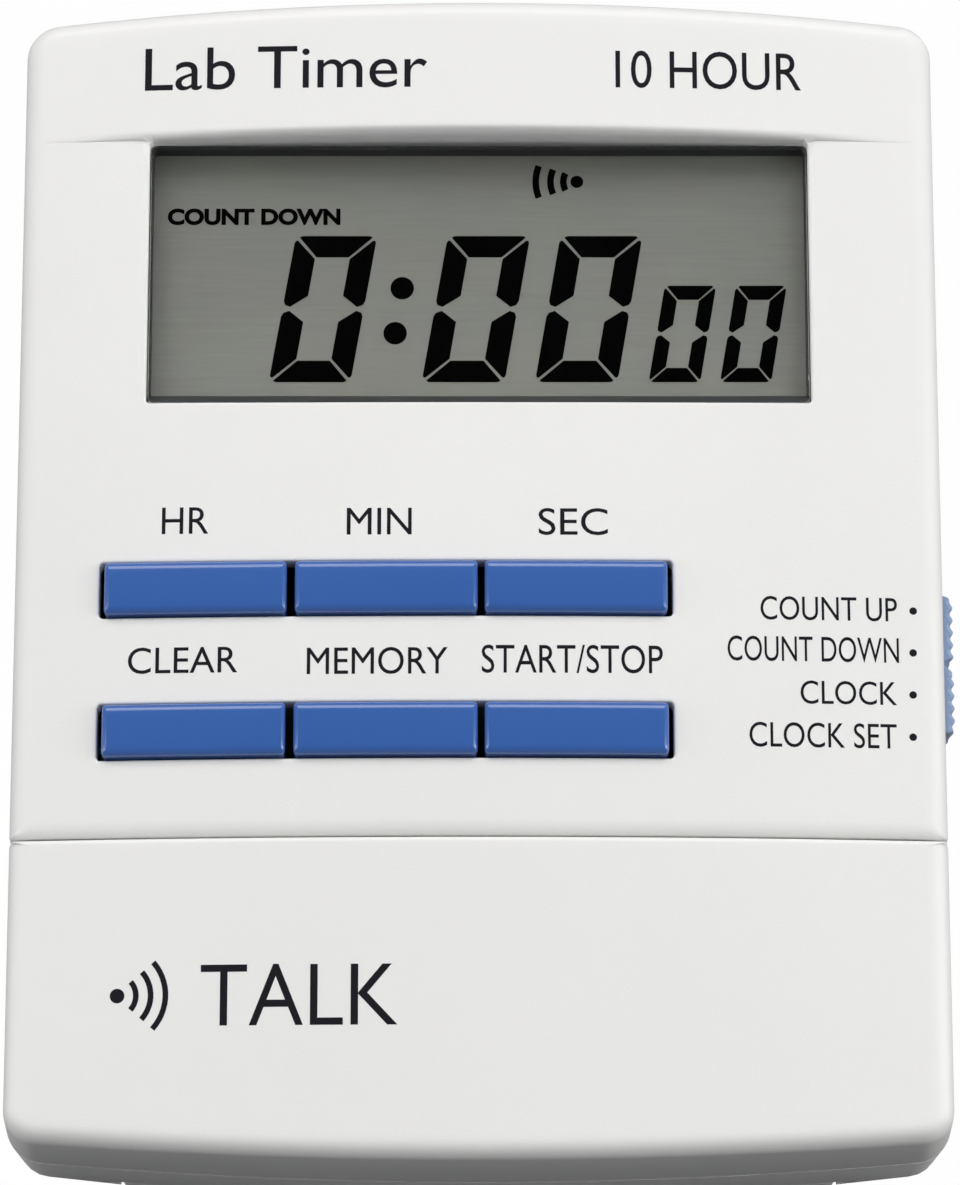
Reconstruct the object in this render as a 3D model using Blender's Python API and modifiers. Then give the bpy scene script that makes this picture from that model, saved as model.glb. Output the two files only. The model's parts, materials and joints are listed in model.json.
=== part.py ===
"""Lab timer with a talk bar: a crowned white case with six keys, a four-position slide knob and a display.

Frame: +X right, +Y towards the header, +Z out of the face. The timer lies on its flat back at z = 0.
All lengths are in metres. Every piece is one object with its own material.
"""

import math

import bmesh
import bpy
from mathutils import Matrix, Vector

# Overall case
WIDTH = 0.0711
TOP_Y = 0.0460          # middle of the bowed top end
BOTTOM_Y = -0.0454      # middle of the bowed bottom end
DEPTH = 0.0200
SPLIT = 0.0098          # height of the parting line above the back
WALL = 0.0020
GAP = 0.0003            # clearance between pieces that touch
END_RADIUS = 0.380      # bow of the top and bottom ends
CORNER_TOP = 0.0030
CORNER_BOTTOM = 0.0028
TIGHTEST_CORNER = 0.0008
SIDE_DRAFT = 0.0003     # how far each half draws in from the parting line
FACE_FILLET = 0.0013
BACK_FILLET = 0.0018

# Face crown and the scoop below the brow
CROWN_RADIUS = 0.356
SCOOP_DEPTH = 0.00135
BROW_CREST_Y = 0.0348
BROW_BASE_Y = 0.0342
SCOOP_END_Y = -0.0180

# Display
DISPLAY_X = 0.0255
DISPLAY_LOW_Y = 0.0131
DISPLAY_HIGH_Y = BROW_BASE_Y
WINDOW_LOW_Z = 0.01755
WINDOW_HIGH_Z = 0.01825
LCD_LOW_Z = 0.0141
LCD_HIGH_Z = 0.0159
LCD_OVERLAP = 0.0009
LCD_FRAME_WALL = 0.0010
LCD_FRAME_Z = 0.0163    # the frame's shelf over the glass
LCD_FRAME_LIP = 0.0006  # the frame's rim around the sight opening

# Keys
KEY_COLUMNS = (-0.0214, -0.006975, 0.00735)
KEY_ROWS = (-0.00173, -0.01278)
KEY_WIDTH = 0.01385
KEY_HEIGHT = 0.0040
KEY_PROUD = 0.0009
KEY_EDGE = 0.0007       # rounding of a key's upper edges
KEY_FLANGE = 0.0005
KEY_LOW_Z = 0.0154
KEY_FLANGE_Z = 0.0163
KEY_NAMES = (("hour_key", "minute_key", "second_key"), ("clear_key", "memory_key", "start_stop_key"))
SLOT_LOW_X = -0.0287
SLOT_HIGH_X = 0.01465

# Mode knob, in the right-hand wall
KNOB_Y = -0.0065
KNOB_Z = 0.0129
KNOB_LENGTH = 0.0108
KNOB_HEIGHT = 0.0042
KNOB_PROUD = 0.00065
KNOB_PITCH = 0.00323    # distance between two positions
KNOB_RIB_COUNT = 5      # ribs on each half

# Talk bar
SEAM_Y = -0.0209
SEAM_GAP = 0.00045
BAR_AXIS_Y = -0.0405
BAR_AXIS_Z = 0.0159
BAR_TRAVEL = math.radians(2.5)
PIVOT_PIN_RADIUS = 0.0008
LUG_HALF = 0.0012       # half the thickness of a hinge lug

# Board and its fasteners
BOARD_X = 0.0270
BOARD_LOW_Y = -0.0150
BOARD_HIGH_Y = 0.0410
BOARD_LOW_Z = 0.0094
BOARD_HIGH_Z = 0.0110
BOARD_SCREWS = ((-0.0245, 0.0384), (0.0245, 0.0384), (-0.0245, 0.0060), (0.0245, 0.0060))
CASE_SCREWS = ((-0.0303, 0.0383), (0.0303, 0.0383), (-0.0240, -0.0182), (0.0240, -0.0182))
BOARD_BOSS_RADIUS = 0.0022
CASE_BOSS_RADII = (0.0026, 0.0026, 0.0021, 0.0021)
BOARD_SCREW_BORE = 0.0012
CASE_SCREW_BORE = 0.0013
BOSS_ROOT_Z = 0.0186    # inside the face, where a boss joins it
LEDGE_LOW_Z = 0.0146    # bulkhead and ledge at the seam

# Battery bay: two AAA cells across the case
CELL_RADIUS = 0.00525
CELL_ROWS = (-0.0373, -0.0266)
CELL_Z = 0.00755
PLATE_THICKNESS = 0.0004
PLATE_REACH = 0.0042    # a contact plate's half width
PLATE_LOW_Z = 0.0033
PLATE_HIGH_Z = 0.0118
BAY_X = 0.0266
BAY_LOW_Y = -0.0428
BAY_HIGH_Y = -0.0211
BAY_ROOF_Z = 0.0131
BAY_TOP_Z = 0.0141
DOOR_X = 0.0272
DOOR_THICKNESS = 0.0017
DOOR_TONGUE = 0.0014

# Speaker
SPEAKER_Y = 0.0270
SPEAKER_RADIUS = 0.0140

# Kickstand
STAND_X = 0.0150
STAND_LOW_Y = -0.0135
STAND_AXIS_Y = 0.0085
STAND_AXIS_Z = 0.0013
STAND_THICKNESS = 0.0018
TRUNNION_RADIUS = 0.0008

MAGNETS = ((-0.0250, -0.0040), (0.0250, -0.0040))
MAGNET_RADIUS = 0.0045


# ---------------------------------------------------------------- scene and materials

for old in list(bpy.data.objects):
    bpy.data.objects.remove(old, do_unlink=True)

PARTS = bpy.data.collections.new("lab_timer")
CUTTERS = bpy.data.collections.new("cutters")
for collection in (PARTS, CUTTERS):
    bpy.context.scene.collection.children.link(collection)
CUTTERS.hide_render = True


def material(name, colour, roughness, metallic=0.0):
    made = bpy.data.materials.new(name)
    made.use_nodes = True
    shader = made.node_tree.nodes["Principled BSDF"]
    shader.inputs["Base Color"].default_value = (*colour, 1.0)
    shader.inputs["Roughness"].default_value = roughness
    shader.inputs["Metallic"].default_value = metallic
    made.diffuse_color = (*colour, 1.0)
    return made


CASE_WHITE = material("case_white", (0.80, 0.80, 0.77), 0.38)
KEY_BLUE = material("key_blue", (0.045, 0.125, 0.37), 0.22)
KNOB_BLUE = material("knob_blue", (0.25, 0.36, 0.55), 0.35)
CLEAR = material("clear_acrylic", (0.85, 0.88, 0.88), 0.05)
DISPLAY_GREY = material("display_grey", (0.21, 0.21, 0.18), 0.25)
BLACK_PLASTIC = material("black_plastic", (0.015, 0.015, 0.016), 0.45)
BOARD_GREEN = material("board_green", (0.02, 0.16, 0.06), 0.40)
CHIP_BLACK = material("chip_epoxy", (0.02, 0.02, 0.02), 0.50)
SILICONE = material("silicone_grey", (0.42, 0.43, 0.44), 0.60)
CONDUCTIVE = material("conductive_rubber", (0.09, 0.09, 0.10), 0.70)
STEEL = material("zinc_steel", (0.55, 0.56, 0.57), 0.32, 1.0)
NICKEL = material("nickel_plate", (0.66, 0.64, 0.58), 0.22, 1.0)
PAPER = material("cone_paper", (0.06, 0.055, 0.05), 0.90)
FERRITE = material("ferrite", (0.07, 0.07, 0.075), 0.55)
CELL_JACKET = material("cell_jacket", (0.06, 0.20, 0.16), 0.30)
CAN_ALUMINIUM = material("can_aluminium", (0.70, 0.71, 0.72), 0.30, 1.0)
RED_LEAD = material("red_lead", (0.45, 0.02, 0.02), 0.45)
BLACK_LEAD = material("black_lead", (0.02, 0.02, 0.02), 0.45)


# ---------------------------------------------------------------- shape helpers

def box(low, high):
    """A box between two corners."""
    bm = bmesh.new()
    bmesh.ops.create_cube(bm, size=1.0)
    low, high = Vector(low), Vector(high)
    size = high - low
    for vertex in bm.verts:
        vertex.co = low + Vector(((vertex.co[i] + 0.5) * size[i] for i in range(3)))
    return bm


def rod(radius, start, end, segments=24, end_radius=None):
    """A cylinder, or a cone frustum, between two points."""
    start, end = Vector(start), Vector(end)
    bm = bmesh.new()
    bmesh.ops.create_cone(
        bm, cap_ends=True, segments=segments, depth=(end - start).length,
        radius1=radius, radius2=radius if end_radius is None else end_radius,
    )
    turn = (end - start).to_track_quat("Z", "Y").to_matrix().to_4x4()
    bm.transform(Matrix.Translation((start + end) / 2) @ turn)
    return bm


def together(*shapes):
    """Several separate shapes in one bmesh, for a cutter."""
    whole = bmesh.new()
    for shape in shapes:
        mesh = bpy.data.meshes.new("piece")
        shape.to_mesh(mesh)
        shape.free()
        whole.from_mesh(mesh)
        bpy.data.meshes.remove(mesh)
    return whole


def make(name, bm, finish, origin=(0.0, 0.0, 0.0), collection=PARTS):
    """Turns a bmesh in world coordinates into an object whose origin is at the given point."""
    origin = Vector(origin)
    bmesh.ops.translate(bm, verts=bm.verts, vec=-origin)
    bmesh.ops.recalc_face_normals(bm, faces=bm.faces)
    mesh = bpy.data.meshes.new(name)
    bm.to_mesh(mesh)
    bm.free()
    obj = bpy.data.objects.new(name, mesh)
    obj.location = origin
    collection.objects.link(obj)
    if finish:
        mesh.materials.append(finish)
        mesh.shade_smooth()
        mesh.set_sharp_from_angle(angle=math.radians(35))
    else:
        obj.hide_render = True
        obj.display_type = "WIRE"
    return obj


def combine(obj, operation, bm):
    """Adds a Boolean with a helper shape, kept in the cutters' collection."""
    helper = make(f"{obj.name}_{operation.lower()}_{len(obj.modifiers)}", bm, None, collection=CUTTERS)
    boolean = obj.modifiers.new(operation.title(), "BOOLEAN")
    boolean.operation = operation
    boolean.solver = "EXACT"
    boolean.object = helper


def bake(obj):
    """Replaces an object's mesh by its evaluated one and returns it as a bmesh for further shaping."""
    bpy.context.view_layer.update()
    graph = bpy.context.evaluated_depsgraph_get()
    bm = bmesh.new()
    bm.from_object(obj, graph)
    obj.modifiers.clear()
    return bm


def store(obj, bm):
    """Writes a shaped bmesh back to its object."""
    bmesh.ops.triangulate(bm, faces=bm.faces)
    bm.to_mesh(obj.data)
    bm.free()
    obj.data.shade_smooth()
    obj.data.set_sharp_from_angle(angle=math.radians(35))


def slice_at(bm, normal, places):
    """Cuts edges into a bmesh along parallel planes, so that it can bend there."""
    for place in places:
        everything = bm.verts[:] + bm.edges[:] + bm.faces[:]
        bmesh.ops.bisect_plane(bm, geom=everything, dist=1e-7, plane_co=normal * place, plane_no=normal)


# ---------------------------------------------------------------- the case's outline and face

def end_y(x, reach, radius):
    """How far the bowed end lies from y = 0 at x: an arc that reaches furthest at x = 0."""
    return reach - radius + math.sqrt(radius * radius - x * x)


def corner(half_width, reach, end_radius, corner_radius, steps):
    """One rounded corner at the upper right, from the straight side round to the bowed end."""
    lean = math.asin((half_width - corner_radius) / end_radius)
    centre_x = half_width - corner_radius
    touch_x = centre_x + corner_radius * math.sin(lean)
    centre_y = end_y(touch_x, reach, end_radius) - corner_radius * math.cos(lean)
    points = []
    for step in range(steps + 1):
        angle = (math.pi / 2 - lean) * step / steps
        x, y = corner_radius * math.cos(angle), corner_radius * math.sin(angle)
        points.append((centre_x + x, centre_y + y))
    return points


def case_outline(inset, corner_steps=5, end_steps=5):
    """The case seen from the front, drawn in by inset, counter-clockwise from the right side."""
    half_width = WIDTH / 2 - inset
    radius = END_RADIUS - inset
    right = {}
    for sign, end, corner_radius in ((1, TOP_Y, CORNER_TOP), (-1, -BOTTOM_Y, CORNER_BOTTOM)):
        reach = end - inset
        rounded = corner(half_width, reach, radius, max(corner_radius - inset, TIGHTEST_CORNER), corner_steps)
        last_x = rounded[-1][0]
        bow = [last_x * (1 - step / end_steps) for step in range(1, end_steps + 1)]
        quarter = rounded + [(x, end_y(x, reach, radius)) for x in bow]
        right[sign] = [(x, sign * y) for x, y in quarter]
    upper, lower = right[1], right[-1]
    half = lower[::-1] + upper
    mirrored = [(-x, y) for x, y in half[::-1][1:-1]]
    return half + mirrored


def case_block(low_z, high_z, low_inset, high_inset, fillet, fillet_at_top, segments=4):
    """A drafted block with the case's outline and one filleted rim."""
    bm = bmesh.new()
    floor = bm.faces.new([bm.verts.new((x, y, low_z)) for x, y in case_outline(low_inset)])
    extruded = bmesh.ops.extrude_face_region(bm, geom=[floor], use_keep_orig=True)
    upper = [item for item in extruded["geom"] if isinstance(item, bmesh.types.BMVert)]
    ring = {(vertex.co.x, vertex.co.y): vertex for vertex in upper}
    for (x, y), (new_x, new_y) in zip(case_outline(low_inset), case_outline(high_inset)):
        nearest = min(ring, key=lambda place: (place[0] - x) ** 2 + (place[1] - y) ** 2)
        ring.pop(nearest).co = (new_x, new_y, high_z)
    if fillet:
        rim_z = high_z if fillet_at_top else low_z
        rim = [edge for edge in bm.edges if all(abs(v.co.z - rim_z) < 1e-7 for v in edge.verts)]
        bmesh.ops.bevel(bm, geom=rim, offset=fillet, segments=segments, profile=0.5, affect="EDGES")
    return bm


def face_drop(x, y):
    """How far the face lies below the crown's highest line: a crown across X, and below the brow a scoop
    that starts flat and grows back into the crown."""
    crown = x * x / (2 * CROWN_RADIUS)
    if y > (BROW_BASE_Y + BROW_CREST_Y) / 2:
        return crown
    share = min(max((BROW_BASE_Y - y) / (BROW_BASE_Y - SCOOP_END_Y), 0.0), 1.0)
    blend = share * share * (3 - 2 * share)
    return max(crown, SCOOP_DEPTH - (SCOOP_DEPTH - crown) * blend)


def bend_to_face(bm, from_z, x_places, y_places):
    """Drops everything above from_z onto the crowned face."""
    slice_at(bm, Vector((1, 0, 0)), x_places)
    slice_at(bm, Vector((0, 1, 0)), y_places)
    for vertex in bm.verts:
        if vertex.co.z > from_z:
            vertex.co.z -= face_drop(vertex.co.x, vertex.co.y)


FACE_X = tuple(0.0062 * step for step in range(-5, 6))
FACE_Y = (BROW_CREST_Y, BROW_BASE_Y, 0.0260, 0.0185, 0.0080, -0.0060, -0.0120, SCOOP_END_Y)
BEND_FROM_Z = 0.0174


# ---------------------------------------------------------------- case halves and talk bar

def front_shell(name):
    """The whole moulded front with its end and side walls, before it is parted at the seam."""
    outer = case_block(SPLIT + GAP, DEPTH, 0.0, SIDE_DRAFT, FACE_FILLET, True)
    shell = make(name, outer, CASE_WHITE)
    inner_top = DEPTH - WALL
    combine(shell, "DIFFERENCE", case_block(SPLIT - 0.001, inner_top, WALL, WALL + SIDE_DRAFT, 0, True))
    return shell


def front_housing():
    """Upper front: display opening, two key slots, knob slot, bosses, and a ledge below the talk bar."""
    housing = front_shell("front_housing")
    combine(housing, "DIFFERENCE", box((-0.04, -0.05, 0.0), (0.04, SEAM_Y + SEAM_GAP / 2, 0.03)))
    for x, y in BOARD_SCREWS:
        boss = rod(BOARD_BOSS_RADIUS, (x, y, BOARD_HIGH_Z + GAP), (x, y, BOSS_ROOT_Z), 20)
        combine(housing, "UNION", boss)
    for (x, y), radius in zip(CASE_SCREWS, CASE_BOSS_RADII):
        combine(housing, "UNION", rod(radius, (x, y, SPLIT + GAP), (x, y, BOSS_ROOT_Z), 20))
    bulkhead_x, ledge_x = 0.0335, 0.0300
    bulkhead = box((-bulkhead_x, SEAM_Y + 0.0002, LEDGE_LOW_Z), (bulkhead_x, SEAM_Y + 0.0012, 0.0185))
    combine(housing, "UNION", bulkhead)
    ledge = box((-ledge_x, SEAM_Y - 0.0023, LEDGE_LOW_Z), (ledge_x, SEAM_Y + 0.0006, LEDGE_LOW_Z + 0.0009))
    combine(housing, "UNION", ledge)
    openings = [box((-DISPLAY_X, DISPLAY_LOW_Y, 0.012), (DISPLAY_X, DISPLAY_HIGH_Y, 0.025))]
    for row in KEY_ROWS:
        reach = KEY_HEIGHT / 2 + GAP
        openings.append(box((SLOT_LOW_X, row - reach, 0.016), (SLOT_HIGH_X, row + reach, 0.025)))
    travel_low, travel_high = KNOB_Y - 2 * KNOB_PITCH, KNOB_Y + KNOB_PITCH
    reach, rise = KNOB_LENGTH / 2 + GAP, KNOB_HEIGHT / 2 + GAP
    slot_low = (0.031, travel_low - reach, KNOB_Z - rise)
    openings.append(box(slot_low, (0.038, travel_high + reach, KNOB_Z + rise)))
    lead_notch = box((-0.004, SEAM_Y - 0.0034, 0.013), (0.004, SEAM_Y + 0.0021, 0.0150))
    openings.append(lead_notch)
    for x, y in BOARD_SCREWS:
        openings.append(rod(BOARD_SCREW_BORE, (x, y, BOARD_LOW_Z), (x, y, 0.0158), 16))
    for x, y in CASE_SCREWS:
        openings.append(rod(CASE_SCREW_BORE, (x, y, SPLIT - 0.001), (x, y, 0.0150), 16))
    combine(housing, "DIFFERENCE", together(*openings))
    shaped = bake(housing)
    bend_to_face(shaped, BEND_FROM_Z, FACE_X, FACE_Y)
    store(housing, shaped)


def bar_axis_rod(radius, reach):
    """A rod along the talk bar's hinge axis, from -reach to reach."""
    return rod(radius, (-reach, BAR_AXIS_Y, BAR_AXIS_Z), (reach, BAR_AXIS_Y, BAR_AXIS_Z), 16)


def talk_bar():
    """Lower front: a bar that rocks on a pin at the bottom end, with side walls that taper for its travel."""
    bar = front_shell("talk_bar")
    combine(bar, "DIFFERENCE", box((-0.04, SEAM_Y - SEAM_GAP / 2, 0.0), (0.04, 0.05, 0.03)))
    wedge = box((-0.04, 0.0, -0.004), (0.04, 0.03, 0.0))
    lift = Matrix.Translation((0, BOTTOM_Y, SPLIT + GAP)) @ Matrix.Rotation(BAR_TRAVEL, 4, "X")
    wedge.transform(lift)
    combine(bar, "DIFFERENCE", wedge)
    for x in (-0.0240, 0.0240):
        lug_low = (x - LUG_HALF, BAR_AXIS_Y - 0.0016, BAR_AXIS_Z - 0.0014)
        combine(bar, "UNION", box(lug_low, (x + LUG_HALF, BAR_AXIS_Y + 0.0016, BOSS_ROOT_Z)))
    bore = PIVOT_PIN_RADIUS + GAP
    combine(bar, "DIFFERENCE", bar_axis_rod(bore, 0.0265))
    shaped = bake(bar)
    bend_to_face(shaped, BEND_FROM_Z, FACE_X, ())
    bmesh.ops.translate(shaped, verts=shaped.verts, vec=(0, -BAR_AXIS_Y, -BAR_AXIS_Z))
    bar.location = (0, BAR_AXIS_Y, BAR_AXIS_Z)
    store(bar, shaped)


def rear_solid(grow=0.0):
    """The closed outer form of the rear half."""
    return case_block(0.0, SPLIT + grow, SIDE_DRAFT, 0.0, BACK_FILLET, False, 5)


def stand_axis_rod(radius, reach, segments):
    """A rod along the kickstand's hinge axis, from -reach to reach."""
    return rod(radius, (-reach, STAND_AXIS_Y, STAND_AXIS_Z), (reach, STAND_AXIS_Y, STAND_AXIS_Z), segments)


def rear_housing():
    """Rear half: battery bay with its rails, kickstand recess, magnet pockets, grille and screw bosses."""
    housing = make("rear_housing", rear_solid(), CASE_WHITE)
    combine(housing, "DIFFERENCE", case_block(WALL, SPLIT + 0.001, WALL + SIDE_DRAFT, WALL, 0, True))
    for x, y in CASE_SCREWS:
        combine(housing, "UNION", rod(0.0032, (x, y, 0.001), (x, y, SPLIT - 0.0002), 20))
    combine(housing, "UNION", box((-0.0304, -0.0425, 0.0010), (0.0304, BAY_HIGH_Y + 0.0007, 0.0036)))
    combine(housing, "UNION", box((-0.0282, -0.0429, 0.0012), (0.0282, BAY_HIGH_Y + 0.0006, 0.0096)))
    combine(housing, "UNION", box((-0.0281, -0.0420, 0.0090), (0.0281, BAY_HIGH_Y + 0.0005, BAY_TOP_Z)))
    for x in (-0.0200, 0.0200):
        ear = box((x - LUG_HALF, BAR_AXIS_Y - 0.0015, 0.0138), (x + LUG_HALF, BAR_AXIS_Y + 0.0015, 0.0173))
        combine(housing, "UNION", ear)
    stand_roof = box((-STAND_X - 0.0021, -0.0176, 0.0010), (STAND_X + 0.0021, 0.0116, 0.0042))
    combine(housing, "UNION", stand_roof)
    for x, y in MAGNETS:
        combine(housing, "UNION", rod(MAGNET_RADIUS + 0.0014, (x, y, 0.001), (x, y, 0.0033), 24))
    combine(housing, "UNION", rod(SPEAKER_RADIUS + 0.0016, (0, SPEAKER_Y, 0.001), (0, SPEAKER_Y, 0.0046), 40))
    hollows = [
        rod(SPEAKER_RADIUS + GAP, (0, SPEAKER_Y, WALL), (0, SPEAKER_Y, 0.006), 40),
        box((-STAND_X - GAP, -0.0164, -0.001), (STAND_X + GAP, 0.0102, 0.0029)),
        box((-DOOR_X - GAP, -0.047, -0.001), (DOOR_X + GAP, BAY_HIGH_Y, 0.0012)),
    ]
    combine(housing, "DIFFERENCE", together(*hollows))
    tongue = DOOR_X + DOOR_TONGUE + GAP
    combine(housing, "DIFFERENCE", box((-tongue, -0.047, 0.0007), (tongue, BAY_HIGH_Y, DOOR_THICKNESS + GAP)))
    combine(housing, "DIFFERENCE", box((-BAY_X, BAY_LOW_Y, 0.0008), (BAY_X, BAY_HIGH_Y, 0.0095)))
    combine(housing, "DIFFERENCE", box((-BAY_X, -0.0424, 0.0090), (BAY_X, -0.0215, BAY_ROOF_Z)))
    small = [bar_axis_rod(PIVOT_PIN_RADIUS + GAP, 0.0225)]
    small.append(stand_axis_rod(TRUNNION_RADIUS + GAP, STAND_X + 0.0016, 16))
    for x, y in CASE_SCREWS:
        small.append(rod(0.0023, (x, y, -0.001), (x, y, 0.0026), 20))
    for x, y in MAGNETS:
        small.append(rod(MAGNET_RADIUS + GAP, (x, y, -0.001), (x, y, 0.0019), 28))
    for row in range(-3, 4):
        y, reach = SPEAKER_Y + 0.0030 * row, 0.0100 - 0.0016 * abs(row)
        small.append(box((-reach, y - 0.0007, -0.001), (reach, y + 0.0007, 0.0030)))
    for x, y in ((-0.0262, CELL_ROWS[0]), (-0.0262, CELL_ROWS[1])):
        small.append(box((x - 0.003, y - 0.0010, 0.0100), (x + 0.001, y + 0.0010, 0.0112)))
    combine(housing, "DIFFERENCE", together(*small))
    bores = [rod(CASE_SCREW_BORE, (x, y, 0.002), (x, y, 0.011), 16) for x, y in CASE_SCREWS]
    combine(housing, "DIFFERENCE", together(*bores))
    store(housing, bake(housing))


def bar_hinge_pin():
    make("bar_hinge_pin", bar_axis_rod(PIVOT_PIN_RADIUS, 0.0262), STEEL)


# ---------------------------------------------------------------- display

def display():
    """Window, black frame, glass and the two zebra strips that carry its contacts down to the board."""
    window_x = DISPLAY_X - GAP
    window_low, window_high = DISPLAY_LOW_Y + GAP, DISPLAY_HIGH_Y - GAP
    window = box((-window_x, window_low, WINDOW_LOW_Z), (window_x, window_high, WINDOW_HIGH_Z))
    make("display_window", window, CLEAR)

    glass_x = DISPLAY_X + LCD_OVERLAP
    glass_low, glass_high = DISPLAY_LOW_Y - LCD_OVERLAP, DISPLAY_HIGH_Y + LCD_OVERLAP
    make("lcd_glass", box((-glass_x, glass_low, LCD_LOW_Z), (glass_x, glass_high, LCD_HIGH_Z)), DISPLAY_GREY)

    frame_x = glass_x + LCD_FRAME_WALL
    frame_low, frame_high = glass_low - LCD_FRAME_WALL, glass_high + LCD_FRAME_WALL
    tray = box((-frame_x, frame_low, BOARD_HIGH_Z + GAP), (frame_x, frame_high, LCD_FRAME_Z))
    frame = make("lcd_frame", tray, BLACK_PLASTIC)
    rim = box((-window_x, window_low, LCD_HIGH_Z), (window_x, window_high, WINDOW_LOW_Z - GAP))
    combine(frame, "UNION", rim)
    shelf = 0.0002
    pocket_low = (-glass_x - GAP, glass_low - GAP, BOARD_LOW_Z)
    pocket = box(pocket_low, (glass_x + GAP, glass_high + GAP, LCD_FRAME_Z - shelf))
    combine(frame, "DIFFERENCE", pocket)
    eye_x = window_x - LCD_FRAME_LIP
    eye_low = (-eye_x, window_low + LCD_FRAME_LIP, BOARD_HIGH_Z)
    combine(frame, "DIFFERENCE", box(eye_low, (eye_x, window_high - LCD_FRAME_LIP, DEPTH)))
    store(frame, bake(frame))

    strip_y = 0.0014        # a strip's middle, in from the glass's edge
    for name, y in (("zebra_strip_lower", glass_low + strip_y), ("zebra_strip_upper", glass_high - strip_y)):
        strip = box((-0.0240, y - 0.0009, BOARD_HIGH_Z + GAP), (0.0240, y + 0.0009, LCD_LOW_Z - GAP))
        make(name, strip, CONDUCTIVE)


# ---------------------------------------------------------------- board and its parts

def main_board():
    panel = box((-BOARD_X, BOARD_LOW_Y, BOARD_LOW_Z), (BOARD_X, BOARD_HIGH_Y, BOARD_HIGH_Z))
    board = make("main_board", panel, BOARD_GREEN)
    holes = [rod(BOARD_SCREW_BORE + 0.0001, (x, y, 0.008), (x, y, 0.012), 16) for x, y in BOARD_SCREWS]
    combine(board, "DIFFERENCE", together(*holes))


def board_components():
    """Parts on the board's underside: the voice chip's epoxy block, the crystal can and a capacitor."""
    make("voice_chip", box((-0.0040, -0.0110, 0.0075), (0.0050, -0.0020, BOARD_LOW_Z - GAP)), CHIP_BLACK)
    make("quartz_crystal", rod(0.0010, (0.0110, 0.0020, 0.0080), (0.0110, 0.0082, 0.0080), 16), CAN_ALUMINIUM)
    make("capacitor", rod(0.0022, (-0.0210, 0.0010, 0.0068), (-0.0210, 0.0082, 0.0068), 24), CHIP_BLACK)


def key_mat():
    """One silicone sheet with a hollow dome below each key."""
    blank = box((SLOT_LOW_X - 0.0002, -0.0148, BOARD_HIGH_Z + GAP), (SLOT_HIGH_X + 0.0008, 0.0012, 0.0121))
    mat = make("key_mat", blank, SILICONE)
    for row in KEY_ROWS:
        for column in KEY_COLUMNS:
            dome = rod(0.0021, (column, row, 0.0118), (column, row, KEY_LOW_Z - GAP), 16, 0.0015)
            combine(mat, "UNION", dome)
    hollows = []
    for row in KEY_ROWS:
        for column in KEY_COLUMNS:
            hollows.append(rod(0.0015, (column, row, 0.0105), (column, row, 0.0140), 12, 0.0009))
    combine(mat, "DIFFERENCE", together(*hollows))
    store(mat, bake(mat))


def keys():
    """Six rounded key caps, each with a narrow flange that keeps it behind the face."""
    for names, row in zip(KEY_NAMES, KEY_ROWS):
        for name, column in zip(names, KEY_COLUMNS):
            half_x, half_y = KEY_WIDTH / 2, KEY_HEIGHT / 2
            low, high = (column - half_x, row - half_y), (column + half_x, row + half_y)
            cap = box((*low, KEY_LOW_Z), (*high, DEPTH + KEY_PROUD))
            crest = [edge for edge in cap.edges if all(v.co.z > DEPTH for v in edge.verts)]
            bmesh.ops.bevel(cap, geom=crest, offset=KEY_EDGE, segments=3, profile=0.5, affect="EDGES")
            key = make(name, cap, KEY_BLUE)
            flange_y = half_y + KEY_FLANGE
            flange_low = (column - half_x, row - flange_y, KEY_LOW_Z)
            combine(key, "UNION", box(flange_low, (column + half_x, row + flange_y, KEY_FLANGE_Z)))
            shaped = bake(key)
            bend_to_face(shaped, BEND_FROM_Z, (column - half_x / 2, column, column + half_x / 2), (row,))
            origin = Vector((column, row, KEY_LOW_Z))
            bmesh.ops.translate(shaped, verts=shaped.verts, vec=-origin)
            key.location = origin
            store(key, shaped)


# ---------------------------------------------------------------- mode switch

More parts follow.
